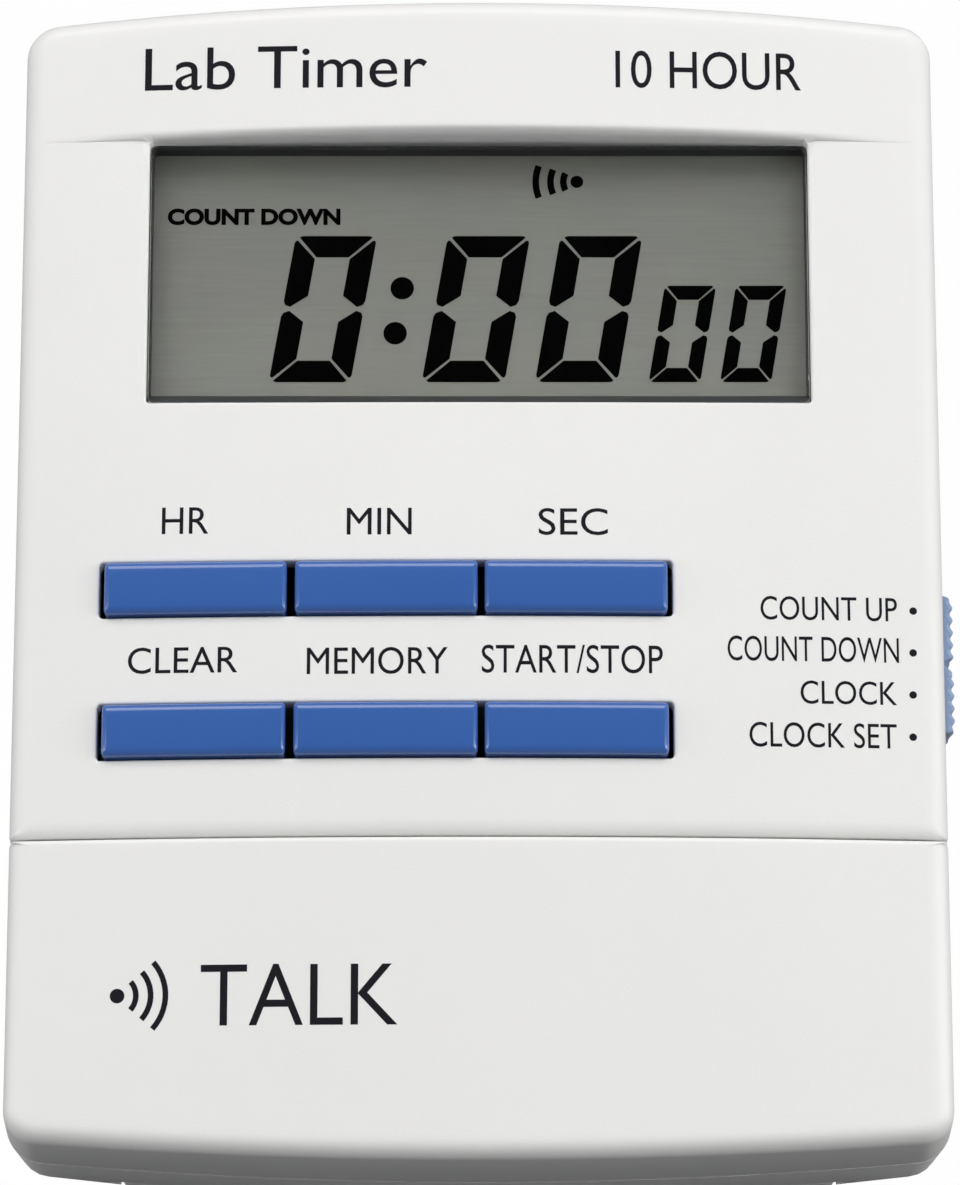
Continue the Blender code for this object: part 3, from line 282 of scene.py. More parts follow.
def moulded_shell(name, end, corner_radius, seam, flip, seam_fillet, seam_drop, seam_floor, taper, openings,
                  brow, finish):
    """A face plate with a rim that is a profile carried round its outline: an elliptical fillet, a drafted
    outer wall, a rounded lower edge and an inner wall. The plate is a Delaunay mesh of the outline, its
    openings, the brow's own points and a lattice, raised to face_height, less the roll of each opening's lip.
    flip is -1 for the shell whose bowed end points to -Y; seam is measured towards its bowed end. An opening
    is its centre, its half size, its corner radius and the width of its lip."""
    seam_corner, edge_round, fillet_steps = 0.0006, 0.00018, 8

    def row(side_inset, seam_inset):
        """One row of the rim as x, y in the frame and the seam weight."""
        x, y, weight = whole_ring(end, corner_radius, seam, seam_corner, side_inset, side_inset, seam_inset)
        return x, flip * y, weight

    rows = []
    for phi in np.linspace(0, math.pi / 2, fillet_steps + 1):
        inset = 1 - math.sin(phi)
        x, y, weight = row(SIDE_DRAFT + FACE_FILLET * inset, seam_fillet * inset)
        depth = (FACE_FILLET + (seam_drop - FACE_FILLET) * weight) * (1 - math.cos(phi))
        rows.append(np.stack([x, y, face_height(x, y) - depth], 1))
    x, y, weight = row(0, 0)
    on_seam = (weight > 0.999) & (np.abs(x) < WIDTH / 2 - WALL)
    base = SPLIT + GAP + taper * (flip * y < end - 0.0002) * np.maximum(end - flip * y, 0)
    base = np.where(on_seam, seam_floor, base)
    mid_round = edge_round * 0.3
    for side_inset, seam_inset, rise in ((0, 0, edge_round), (mid_round, mid_round, mid_round),
                                         (edge_round, edge_round, 0), (WALL, WALL * 0.5, 0)):
        x, y, _ = row(side_inset, seam_inset)
        rows.append(np.stack([x, y, base + rise], 1))
    skin_x, skin_y, _ = row(WALL + SIDE_DRAFT, WALL * 0.5 + SIDE_DRAFT)
    skin = np.stack([skin_x, skin_y, face_height(skin_x, skin_y) - WALL], 1)
    rows.append(skin)

    fixed = [rows[0][:, :2]]
    guides = []
    for more in (0.0005, 0.0012):
        x, y, _ = row(SIDE_DRAFT + FACE_FILLET + more, seam_fillet + more)
        guides.append(np.stack([x, y], 1))
    for centre, half, radius, lip in openings:
        fixed.append(round_rectangle(centre, half, radius, 7, RIM_STEP))
        for grown in lip * np.array([0.2, 0.5, 1.0, 1.9, 3.2]):
            wider = (half[0] + grown, half[1] + grown)
            guides.append(round_rectangle(centre, wider, radius + grown, 7, RIM_STEP))
    extra = np.concatenate(guides)
    if len(brow):
        in_brow = (extra[:, 1] > brow[:, 1].min() - 0.0002) & (extra[:, 1] < brow[:, 1].max() + 0.0002)
        extra = np.concatenate([extra[~in_brow], brow])
    spacing = 0.0013
    low, high = fixed[0].min(0), fixed[0].max(0)
    columns, lines = (np.arange(low[axis], high[axis], spacing) for axis in (0, 1))
    lattice = np.stack(np.meshgrid(columns, lines), -1).reshape(-1, 2)

    def inside_rim(points, margin):
        """True where points lie inside the plate's outline by a margin."""
        ring_x, ring_y, _ = row(SIDE_DRAFT + FACE_FILLET + margin, seam_fillet + margin)
        px, py = points[:, 0:1], points[:, 1:2]
        next_x, next_y = np.roll(ring_x, -1), np.roll(ring_y, -1)
        crosses = (ring_y > py) != (next_y > py)
        climb = np.where(next_y == ring_y, 1, next_y - ring_y)
        where = ring_x + (py - ring_y) / climb * (next_x - ring_x)
        return (np.sum(crosses & (px < where), axis=1) % 2) == 1

    extra = extra[inside_rim(extra, 0.0002)]
    for centre, half, radius, lip in openings:
        extra = extra[loop_distance(extra, centre, half, radius) > lip * 0.1]
        lattice = lattice[loop_distance(lattice, centre, half, radius) > lip * 4]
    lattice = lattice[inside_rim(lattice, 0.0016)]
    for start in range(0, len(extra), 400):
        block = extra[start:start + 400]
        gap = np.linalg.norm(lattice[:, None] - block[None], axis=2).min(axis=1)
        lattice = lattice[gap > spacing * 0.55]
    _, keep = np.unique(np.round(extra / 0.00004), axis=0, return_index=True)
    extra = extra[np.sort(keep)]

    flat = np.concatenate(fixed + [extra, lattice])
    edges, start = [], 0
    for loop in fixed:
        edges += [(start + i, start + (i + 1) % len(loop)) for i in range(len(loop))]
        start += len(loop)
    places = [Vector(place) for place in (flat * 1000).tolist()]
    made, _, triangles, _, _, _ = delaunay_2d_cdt(places, edges, [], 0, 1e-5)
    plate = np.array([tuple(p) for p in made]) / 1000
    triangles = np.array(triangles)
    middle = plate[triangles].mean(axis=1)
    kept = inside_rim(middle, 0.0)
    for centre, half, radius, _ in openings:
        kept &= loop_distance(middle, centre, half, radius) > 0
    triangles = triangles[kept]
    a, b, c = plate[triangles[:, 0]], plate[triangles[:, 1]], plate[triangles[:, 2]]
    turn = (b[:, 0] - a[:, 0]) * (c[:, 1] - a[:, 1]) - (b[:, 1] - a[:, 1]) * (c[:, 0] - a[:, 0])
    triangles = np.where(turn[:, None] < 0, triangles[:, ::-1], triangles)[np.abs(turn) > 1e-12]

    drop = np.zeros(len(plate))
    for centre, half, radius, lip in openings:
        share = np.clip(1 - loop_distance(plate, centre, half, radius) / lip, 0, 1)
        drop = np.maximum(drop, lip * (1 - np.sqrt(1 - share * share)))
    surface = face_height(plate[:, 0], plate[:, 1])
    bowed = np.column_stack([plate[:, 0], arched(plate[:, 0], plate[:, 1])])
    top = np.column_stack([bowed, surface - drop])
    under = np.column_stack([bowed, surface - WALL])

    index_of = [np.array([place_index(plate, place) for place in loop]) for loop in fixed]
    under[index_of[0]] = skin
    points = [top, under] + rows[1:-1]
    plate_count = len(plate)
    faces = triangles.tolist() + (triangles[:, ::-1] + plate_count).tolist()
    between = 2 * plate_count + np.arange((len(rows) - 2) * len(skin)).reshape(-1, len(skin))
    grid = [index_of[0], *between, index_of[0] + plate_count]
    for upper, lower in zip(grid[:-1], grid[1:]):
        quads = np.stack([upper, np.roll(upper, -1), np.roll(lower, -1), lower], 1)
        faces += (quads[:, ::-1] if flip > 0 else quads).tolist()
    for rim in index_of[1:]:
        quads = np.stack([rim, np.roll(rim, -1), np.roll(rim, -1) + plate_count, rim + plate_count], 1)
        faces += quads.tolist()
    return surface_object(name, np.concatenate(points), faces, finish, 50)


def value_group(name, inputs, outputs):
    """An empty shader node group with named value inputs (name, default) and named outputs (name, kind).
    Returns the group, its input node and its output node."""
    group = bpy.data.node_groups.new(name, "ShaderNodeTree")
    for socket, default in inputs:
        made = group.interface.new_socket(socket, in_out="INPUT", socket_type="NodeSocketFloat")
        made.default_value = default
    for socket, kind in outputs:
        group.interface.new_socket(socket, in_out="OUTPUT", socket_type=kind)
    return group, group.nodes.new("NodeGroupInput"), group.nodes.new("NodeGroupOutput")


def moulded_surface_group():
    """Injection-moulded skin: a fine spark-eroded texture and slow flow ripples as bump height, with a slow
    change of tone and of gloss from handling."""
    group, given, result = value_group(
        "moulded_surface",
        [("Grain Scale", 9000.0), ("Grain", 1.0), ("Flow Scale", 60.0), ("Flow", 1.0), ("Tone Spread", 0.02),
         ("Roughness", 0.4), ("Roughness Spread", 0.06)],
        [("Height", "NodeSocketFloat"), ("Tone", "NodeSocketFloat"), ("Roughness", "NodeSocketFloat")])
    nodes, links = group.nodes, group.links
    where = nodes.new("ShaderNodeTexCoord")
    grain, flow, hands = (nodes.new("ShaderNodeTexNoise") for _ in range(3))
    for noise, scale, detail in ((grain, "Grain Scale", 2.0), (flow, "Flow Scale", 1.0),
                                 (hands, "Flow Scale", 4.0)):
        wire(where, "Object", noise, "Vector")
        wire(given, scale, noise, "Scale")
        noise.inputs["Detail"].default_value = detail
    hands.inputs["Distortion"].default_value = 0.6

    def math_node(operation, first, second):
        """A math node fed by two sockets or values."""
        node = nodes.new("ShaderNodeMath")
        node.operation = operation
        for socket, value in zip(node.inputs, (first, second)):
            if isinstance(value, (int, float)):
                socket.default_value = value
            else:
                links.new(value, socket)
        return node.outputs[0]

    fine = math_node("MULTIPLY", grain.outputs["Fac"], given.outputs["Grain"])
    slow = math_node("MULTIPLY", flow.outputs["Fac"], given.outputs["Flow"])
    links.new(math_node("ADD", fine, slow), result.inputs["Height"])
    centred = math_node("SUBTRACT", hands.outputs["Fac"], 0.5)
    links.new(math_node("ADD", math_node("MULTIPLY", centred, given.outputs["Tone Spread"]), 1.0),
              result.inputs["Tone"])
    spread = math_node("MULTIPLY", centred, given.outputs["Roughness Spread"])
    links.new(math_node("ADD", spread, given.outputs["Roughness"]), result.inputs["Roughness"])
    return group


def edge_wear_group():
    """A mask of edges rubbed by handling: the difference between a rounded and the true normal, broken up
    by noise."""
    group, given, result = value_group("edge_wear", [("Radius", 0.0006), ("Amount", 1.0)],
                                       [("Mask", "NodeSocketFloat")])
    nodes = group.nodes
    bevel, geometry, where = (nodes.new(kind) for kind in
                              ("ShaderNodeBevel", "ShaderNodeNewGeometry", "ShaderNodeTexCoord"))
    bevel.samples = 4
    facing = nodes.new("ShaderNodeVectorMath")
    facing.operation = "DOT_PRODUCT"
    noise = nodes.new("ShaderNodeTexNoise")
    put_values(noise, Scale=500.0, Detail=4.0)
    away = nodes.new("ShaderNodeMapRange")
    put_values(away, From_Min=1.0, From_Max=0.80, To_Min=0.0, To_Max=1.0)
    broken, scaled = nodes.new("ShaderNodeMath"), nodes.new("ShaderNodeMath")
    broken.operation = scaled.operation = "MULTIPLY"
    wire(given, "Radius", bevel, "Radius")
    wire(where, "Object", noise, "Vector")
    wire(bevel, "Normal", facing, 0)
    wire(geometry, "Normal", facing, 1)
    wire(facing, "Value", away, "Value")
    wire(away, "Result", broken, 0)
    wire(noise, "Fac", broken, 1)
    wire(broken, "Value", scaled, 0)
    wire(given, "Amount", scaled, 1)
    wire(scaled, "Value", result, "Mask")
    return group


MOULDED_SURFACE = moulded_surface_group()
EDGE_WEAR = edge_wear_group()


def moulded_plastic(name, colour, worn, roughness, grain=1.0, flow=1.0, bump=0.00001, wear=0.5, spread=0.03,
                    grain_scale=9000.0, **fixed):
    """A moulded material: its tone and gloss from MOULDED_SURFACE, a paler or darker rubbed colour where
    EDGE_WEAR says, and constants such as Metallic or Coat set on the shader itself."""
    made, nodes, shader = shader_material(name)
    skin, wear_mask = nodes.new("ShaderNodeGroup"), nodes.new("ShaderNodeGroup")
    skin.node_tree, wear_mask.node_tree = MOULDED_SURFACE, EDGE_WEAR
    put_values(skin, Grain_Scale=grain_scale, Grain=grain, Flow=flow, Roughness=roughness, Tone_Spread=spread)
    put_values(wear_mask, Amount=wear)
    toned = colour_mix(nodes, "MULTIPLY", Factor=1.0, A=(*colour, 1))
    rubbed = colour_mix(nodes, B=(*worn, 1))
    relief = nodes.new("ShaderNodeBump")
    put_values(relief, Distance=bump, Strength=1.0)
    wire(skin, "Tone", toned, "B")
    wire(toned, "Result", rubbed, "A")
    wire(wear_mask, "Mask", rubbed, "Factor")
    wire(rubbed, "Result", shader, "Base Color")
    wire(skin, "Roughness", shader, "Roughness")
    wire(skin, "Height", relief, "Height")
    wire(relief, "Normal", shader, "Normal")
    put_values(shader, **fixed)
    return made


CASE_WHITE = moulded_plastic("case_white", (0.80, 0.80, 0.775), (0.83, 0.83, 0.81), 0.40, bump=0.000012,
                             wear=0.3)

DISPLAY_CORNER, DISPLAY_LIP, SLOT_CORNER, SLOT_LIP = 0.0004, 0.00012, 0.0003, 0.00018
slot_reach = KEY_HEIGHT / 2 + KEY_GAP
slot_middle = (SLOT_LOW_X + SLOT_HIGH_X) / 2
slot_half = ((SLOT_HIGH_X - SLOT_LOW_X) / 2, slot_reach)
display_middle = (0.0, (DISPLAY_LOW_Y + DISPLAY_HIGH_Y) / 2)
display_half = (DISPLAY_X, (DISPLAY_HIGH_Y - DISPLAY_LOW_Y) / 2)
face_openings = [(display_middle, display_half, DISPLAY_CORNER, DISPLAY_LIP)]
face_openings += [((slot_middle, row), slot_half, SLOT_CORNER, SLOT_LIP) for row in KEY_ROWS]
brow_turn = np.linspace(0, math.pi / 2, 10)
brow_climb = (BROW_CREST_Y - BROW_LOW_Y) * (1 - np.cos(brow_turn))
brow_rows = BROW_LOW_Y + np.concatenate([[-0.0003, -0.0001], brow_climb, [0.0008, 0.0012]])
flat_run = 2 * (DISPLAY_X - DISPLAY_CORNER)
brow_step = flat_run / int(flat_run / RIM_STEP)
brow_columns = np.arange(-9, flat_run / brow_step + 9.5) * brow_step - flat_run / 2
brow_points = np.stack(np.meshgrid(brow_columns, brow_rows), -1).reshape(-1, 2)

front = moulded_shell("front_shell", TOP_Y, CORNER_TOP, SEAM_Y + SEAM_GAP / 2, 1, 0.0012, 0.0005, 0.0146, 0.0,
                      face_openings, brow_points, CASE_WHITE)


def cut_box(obj, low, high):
    """Cuts a box out of a closed piece with a Boolean, and keeps the result as the piece's mesh."""
    corners = [(x, y, z) for x in (low[0], high[0]) for y in (low[1], high[1]) for z in (low[2], high[2])]
    sides = [(0, 1, 3, 2), (4, 6, 7, 5), (0, 4, 5, 1), (2, 3, 7, 6), (0, 2, 6, 4), (1, 5, 7, 3)]
    cutter = surface_object(obj.name + "_cutter", corners, sides, obj.data.materials[0])
    cut = obj.modifiers.new("cut", "BOOLEAN")
    cut.operation, cut.solver, cut.object = "DIFFERENCE", "EXACT", cutter
    graph = bpy.context.evaluated_depsgraph_get()
    mesh = bpy.data.meshes.new_from_object(obj.evaluated_get(graph))
    obj.modifiers.clear()
    obj.data = mesh
    mesh.shade_smooth()
    mesh.set_sharp_from_angle(angle=math.radians(50))
    bpy.data.objects.remove(cutter)


knob_slot_y = (KNOB_Y - 2 * KNOB_PITCH - KNOB_LENGTH / 2 - GAP, KNOB_Y + KNOB_PITCH + KNOB_LENGTH / 2 + GAP)
knob_slot_z = (KNOB_Z - KNOB_HEIGHT / 2 - GAP, KNOB_Z + KNOB_HEIGHT / 2 + GAP)
cut_box(front, (0.0310, knob_slot_y[0], knob_slot_z[0]), (0.0380, knob_slot_y[1], knob_slot_z[1]))
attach(front, "case")
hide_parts("front_housing")

# ------------------------------------------------------------------------------------------------
# Talk bar: the separate lower front, the same white ABS. It rocks on a steel pin at the bottom end and
# its side walls are cut away by the angle of its travel.

BAR_TRAVEL = math.radians(2.5)
bar = moulded_shell("talk_bar_shell", -BOTTOM_Y, CORNER_BOTTOM, -(SEAM_Y - SEAM_GAP / 2), -1, 0.0004, 0.0003,
                    0.0177, math.tan(BAR_TRAVEL), [], [], CASE_WHITE)
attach(bar, "talk_bar")
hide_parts("talk_bar")

# ------------------------------------------------------------------------------------------------
# Rear housing: the lower shell in the same white ABS, with the battery bay, the speaker grille, the
# kickstand's recess and two magnet pockets. Screws go up through it into the front housing.

EDGE_ROUND = 0.00022


def softened_copy(name, node, finish, width):
    """A CAD node's own shape with its doubles merged, its flat faces joined and its edges rounded."""
    shape = bmesh.new()
    shape.from_mesh(frame["nodes"][node].data)
    bmesh.ops.remove_doubles(shape, verts=shape.verts, dist=0.000002)
    bmesh.ops.dissolve_limit(shape, angle_limit=math.radians(0.25), verts=shape.verts, edges=shape.edges)
    mesh = bpy.data.meshes.new(name)
    shape.to_mesh(mesh)
    shape.free()
    mesh.materials.append(finish)
    obj = bpy.data.objects.new(name, mesh)
    bpy.context.scene.collection.objects.link(obj)
    rounding = obj.modifiers.new("rounding", "BEVEL")
    rounding.limit_method = "ANGLE"
    rounding.angle_limit = math.radians(38)
    rounding.width = width
    rounding.segments = 3
    rounding.use_clamp_overlap = True
    mesh.shade_smooth()
    mesh.set_sharp_from_angle(angle=math.radians(60))
    return obj


for piece_name, node, body in (("rear_shell", "rear_housing", "case"),
                               ("battery_cover", "battery_door", "battery_door"),
                               ("kickstand_leg", "kickstand", "kickstand")):
    piece = softened_copy(piece_name, node, CASE_WHITE, EDGE_ROUND)
    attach(piece, body)
    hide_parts(node)

# ------------------------------------------------------------------------------------------------
# Keys: six glossy blue ABS caps, moulded with a flange along each long side that keeps them behind the
# face. Each cap is nearly flat, with its long edges rounded a little more than its short ones.

KEY_PROUD, KEY_FLANGE, KEY_LOW_Z, KEY_FLANGE_Z = 0.00085, 0.0005, 0.0154, 0.0163
KEY_ROUND_X, KEY_ROUND_Y, KEY_CROWN = 0.00042, 0.00060, 0.00007
KEY_CLEAR = 0.00002     # how much narrower than its pitch a cap is, on each side


def mend(mesh, merge=0.0, cut=False):
    """Merges a mesh's doubles within a distance, cuts it into triangles if asked, and turns its faces out."""
    shape = bmesh.new()
    shape.from_mesh(mesh)
    if merge:
        bmesh.ops.remove_doubles(shape, verts=shape.verts, dist=merge)
    if cut:
        bmesh.ops.triangulate(shape, faces=shape.faces)
    bmesh.ops.recalc_face_normals(shape, faces=shape.faces)
    shape.to_mesh(mesh)
    shape.free()


def stacked(name, rings, finish, endless=False, smooth_angle=40):
    """A closed skin over a stack of rings with equal counts: quads between neighbours, and a fan to the
    middle of the first and the last ring, or back to the first ring where the stack is endless."""
    rings = np.asarray(rings)
    levels, count = rings.shape[:2]
    index = np.arange(levels * count).reshape(levels, count)
    after = np.roll(index, -1, axis=1)
    lower, upper = (index, np.roll(index, -1, axis=0)) if endless else (index[:-1], index[1:])
    lower_after, upper_after = (after, np.roll(after, -1, axis=0)) if endless else (after[:-1], after[1:])
    faces = np.stack([lower, lower_after, upper_after, upper], -1).reshape(-1, 4).tolist()
    points = rings.reshape(-1, 3)
    if not endless:
        poles = len(points) + np.arange(2)
        points = np.concatenate([points, rings[0].mean(0)[None], rings[-1].mean(0)[None]])
        faces += [(int(b), int(a), int(poles[0])) for a, b in zip(index[0], after[0])]
        faces += [(int(a), int(b), int(poles[1])) for a, b in zip(index[-1], after[-1])]
    obj = surface_object(name, points, faces, finish, smooth_angle)
    mend(obj.data, 0.000001)
    obj.data.shade_smooth()
    obj.data.set_sharp_from_angle(angle=math.radians(smooth_angle))
    return obj


def key_cap(name, column, row):
    """A cap as a stack of rings: the flange, straight sides, a quarter ellipse that is wider along Y than
    along X, and a crown of KEY_CROWN times the square of the share of the width."""
    half_x, half_y = KEY_WIDTH / 2 - KEY_CLEAR, KEY_HEIGHT / 2

    def level(inset_x, inset_y, height, on_face):
        """One ring at a height, or at a height over the face."""
        half = (half_x - inset_x, half_y - inset_y)
        ring = round_rectangle((column, row), half, 0.00035 - min(inset_x, 0.00025))
        z = np.full(len(ring), height)
        if on_face:
            local = (ring[:, 1] - row) / half_y
            z = face_height(ring[:, 0], np.full(len(ring), row)) + height - KEY_CROWN * local ** 2
        return np.column_stack([ring, z])

    rings = [level(0, -KEY_FLANGE, KEY_LOW_Z, False), level(0, -KEY_FLANGE, KEY_FLANGE_Z, False),
             level(0, 0, KEY_FLANGE_Z, False), level(0, 0, -0.0010, True)]
    for phi in np.linspace(0, math.pi / 2, 8):
        inset, sink = 1 - math.cos(phi), 1 - math.sin(phi)
        rings.append(level(KEY_ROUND_X * inset, KEY_ROUND_Y * inset, KEY_PROUD - 0.0004 * sink, True))
    for share in (0.85, 0.6, 0.35, 0.1):
        rings.append(level(half_x - (half_x - KEY_ROUND_X) * share, half_y - (half_y - KEY_ROUND_Y) * share,
                           KEY_PROUD, True))
    return stacked(name, rings, KEY_BLUE)


KEY_BLUE = moulded_plastic("key_blue", (0.042, 0.122, 0.39), (0.10, 0.20, 0.45), 0.20, grain=0.35, flow=2.0,
                           bump=0.000010, wear=0.35, spread=0.06, grain_scale=5000.0, Coat_Weight=0.35,
                           Coat_Roughness=0.08)

key_names = (("hour_key", "minute_key", "second_key"), ("clear_key", "memory_key", "start_stop_key"))
for names, row in zip(key_names, KEY_ROWS):
    for node, column in zip(names, KEY_COLUMNS):
        cap = key_cap(node + "_cap", column, row)
        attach(cap, node)
        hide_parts(node)

# ------------------------------------------------------------------------------------------------
# Mode knob: a pale blue ABS slide with a V notch in the middle and thumb ribs on both halves. It stands
# a little proud of the right-hand wall and clips over the lever of the slide switch.

KNOB_PROUD, KNOB_RIBS, RIB_DEPTH, RIB_SLANT = 0.00065, 5, 0.00022, 0.25
NOTCH_DEPTH, NOTCH_HALF, END_ROLL, EDGE_ROLL, EDGE_FROM = 0.00060, 0.00055, 0.0007, 0.0003, 0.8
KNOB_FLANGE_X, KNOB_FLANGE_TOP_X, KNOB_FLANGE_Y, KNOB_FLANGE_Z = 0.0315, 0.0328, 0.0066, 0.00265


def knob_skin():
    """Rings in XZ planes carried along Y. The outer face lies at x = R - ribs - notch: ribs are a raised
    cosine along Y that slants with Z, the notch is a V, and both ends roll off in a quarter circle."""
    half_y, half_z = KNOB_LENGTH / 2, KNOB_HEIGHT / 2
    out_x, pitch, end_round = WIDTH / 2 + KNOB_PROUD, (half_y - NOTCH_HALF) / KNOB_RIBS, 0.0005
    across = np.linspace(-1, 1, 15)
    rings = []
    near_end = 0.09 * (1 - np.cos(np.linspace(0, math.pi / 2, 6)))
    stations = np.concatenate([near_end - 1, np.linspace(-0.9, 0.9, 160), 1 - near_end[::-1]])
    for station in stations:
        y = station * half_y
        z = across * half_z
        slant = y + RIB_SLANT * z
        rib = 0.5 - 0.5 * np.cos(2 * math.pi * (np.abs(slant) - NOTCH_HALF) / pitch)
        ribs = RIB_DEPTH * np.where(np.abs(slant) > NOTCH_HALF, 1 - rib, 0.6)
        notch = NOTCH_DEPTH * np.clip(1 - abs(y) / NOTCH_HALF, 0, 1)
        rolled = np.clip((abs(y) - (half_y - end_round)) / end_round, 0, 1)
        roll = END_ROLL * (1 - math.sqrt(1 - rolled * rolled))
        near_edge = np.clip((np.abs(across) - EDGE_FROM) / (1 - EDGE_FROM), 0, 1)
        edge = EDGE_ROLL * (1 - np.sqrt(1 - near_edge ** 2))
        face_x = out_x - ribs - notch - roll - edge
        ring_y = np.full(len(z), KNOB_Y + y)
        outer = np.column_stack([face_x, ring_y, KNOB_Z + z])
        inner = np.column_stack([np.full(len(z), KNOB_FLANGE_TOP_X - 0.0002), ring_y, KNOB_Z + z[::-1]])
        rings.append(np.concatenate([outer, inner]))
    return stacked("mode_knob_thumb", rings, KNOB_BLUE)


KNOB_BLUE = moulded_plastic("knob_blue", (0.27, 0.365, 0.55), (0.36, 0.45, 0.63), 0.34, grain=0.6, flow=1.0,
                            bump=0.000012, wear=0.5, spread=0.06, grain_scale=6000.0)
knob = knob_skin()
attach(knob, "mode_knob")
flange_rings = []
for x, grow in ((KNOB_FLANGE_X, -0.00012), (KNOB_FLANGE_X + 0.00012, 0.0), (KNOB_FLANGE_TOP_X - 0.00012, 0.0),
                (KNOB_FLANGE_TOP_X, -0.00012)):
    ring = round_rectangle((KNOB_Y, KNOB_Z), (KNOB_FLANGE_Y + grow, KNOB_FLANGE_Z + grow), 0.0003)
    flange_rings.append(np.column_stack([np.full(len(ring), x), ring]))
flange = stacked("mode_knob_flange", flange_rings, KNOB_BLUE)
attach(flange, "mode_knob")
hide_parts("mode_knob")

# ------------------------------------------------------------------------------------------------
# Display: a clear acrylic window over a black frame, and in the frame a liquid crystal glass with a
# grey-green reflector. Its segments are dark, thin layers; the window lies just below the face.

WINDOW_X, WINDOW_LOW_Z, WINDOW_HIGH_Z = DISPLAY_X - 0.00012, 0.01755, 0.01825
WINDOW_LOW_Y, WINDOW_HIGH_Y = DISPLAY_LOW_Y + 0.00012, DISPLAY_HIGH_Y - 0.00012
LCD_Z = 0.0159
WINDOW_ROUND, EDGE_CUT = 0.0004, 0.0001
FRAME_LIP, FRAME_SILL, FRAME_LIP_Z = 0.00015, 0.00080, 0.01745
FRAME_LOW_Z, FRAME_STEP_Z, FRAME_FLANGE = 0.0113, 0.0162, 0.0015
FRAME_POCKET, POCKET_Z = 0.0011, LCD_Z + 0.00003
SEGMENT_THICKNESS = 0.00002

window_centre = (0.0, (WINDOW_LOW_Y + WINDOW_HIGH_Y) / 2)
window_half = (WINDOW_X, (WINDOW_HIGH_Y - WINDOW_LOW_Y) / 2)

clear_acrylic, nodes, shader = shader_material("clear_acrylic")
put_values(shader, Base_Color=(0.96, 0.975, 0.97, 1), Roughness=0.0, IOR=1.49, Transmission_Weight=1.0,
           Specular_IOR_Level=0.1)
lamp_ray, through = nodes.new("ShaderNodeLightPath"), nodes.new("ShaderNodeBsdfTransparent")
put_values(through, Color=(0.93, 0.95, 0.94, 1))
pane_mix = nodes.new("ShaderNodeMixShader")
wire(lamp_ray, "Is Shadow Ray", pane_mix, "Fac")
wire(shader, "BSDF", pane_mix, 1)
wire(through, "BSDF", pane_mix, 2)
wire(pane_mix, "Shader", nodes["Material Output"], "Surface")

pane_rings = []
for height, inset in ((WINDOW_LOW_Z, EDGE_CUT), (WINDOW_LOW_Z + EDGE_CUT, 0.0),
                      (WINDOW_HIGH_Z - EDGE_CUT, 0.0), (WINDOW_HIGH_Z, EDGE_CUT)):
    ring = round_rectangle(window_centre, (window_half[0] - inset, window_half[1] - inset), WINDOW_ROUND)
    pane_rings.append(np.column_stack([ring, np.full(len(ring), height)]))
pane = stacked("window_pane", pane_rings, clear_acrylic, smooth_angle=30)
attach(pane, "case")
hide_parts("display_window")

BLACK_PLASTIC = moulded_plastic("black_plastic", (0.012, 0.012, 0.013), (0.05, 0.05, 0.05), 0.45, wear=0.3)
sight_centre = (0.0, window_centre[1] + (FRAME_SILL - FRAME_LIP) / 2)
sight_half = (window_half[0] - FRAME_LIP, window_half[1] - (FRAME_SILL + FRAME_LIP) / 2)
frame_rings = []
for centre, half, grow, height in ((window_centre, window_half, FRAME_FLANGE, FRAME_LOW_Z),
                                   (window_centre, window_half, FRAME_FLANGE, FRAME_STEP_Z),
                                   (window_centre, window_half, 0.0, FRAME_STEP_Z),
                                   (window_centre, window_half, 0.0, FRAME_LIP_Z),
                                   (sight_centre, sight_half, EDGE_CUT, FRAME_LIP_Z),
                                   (sight_centre, sight_half, 0.0, FRAME_LIP_Z - EDGE_CUT),
                                   (sight_centre, sight_half, 0.0, POCKET_Z),
                                   (window_centre, window_half, FRAME_POCKET, POCKET_Z),
                                   (window_centre, window_half, FRAME_POCKET, FRAME_LOW_Z)):
    ring = round_rectangle(centre, (half[0] + grow, half[1] + grow), 0.0003)
    frame_rings.append(np.column_stack([ring, np.full(len(ring), height)]))
bezel = stacked("display_bezel", frame_rings, BLACK_PLASTIC, endless=True, smooth_angle=30)
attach(bezel, "case")
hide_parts("lcd_frame")


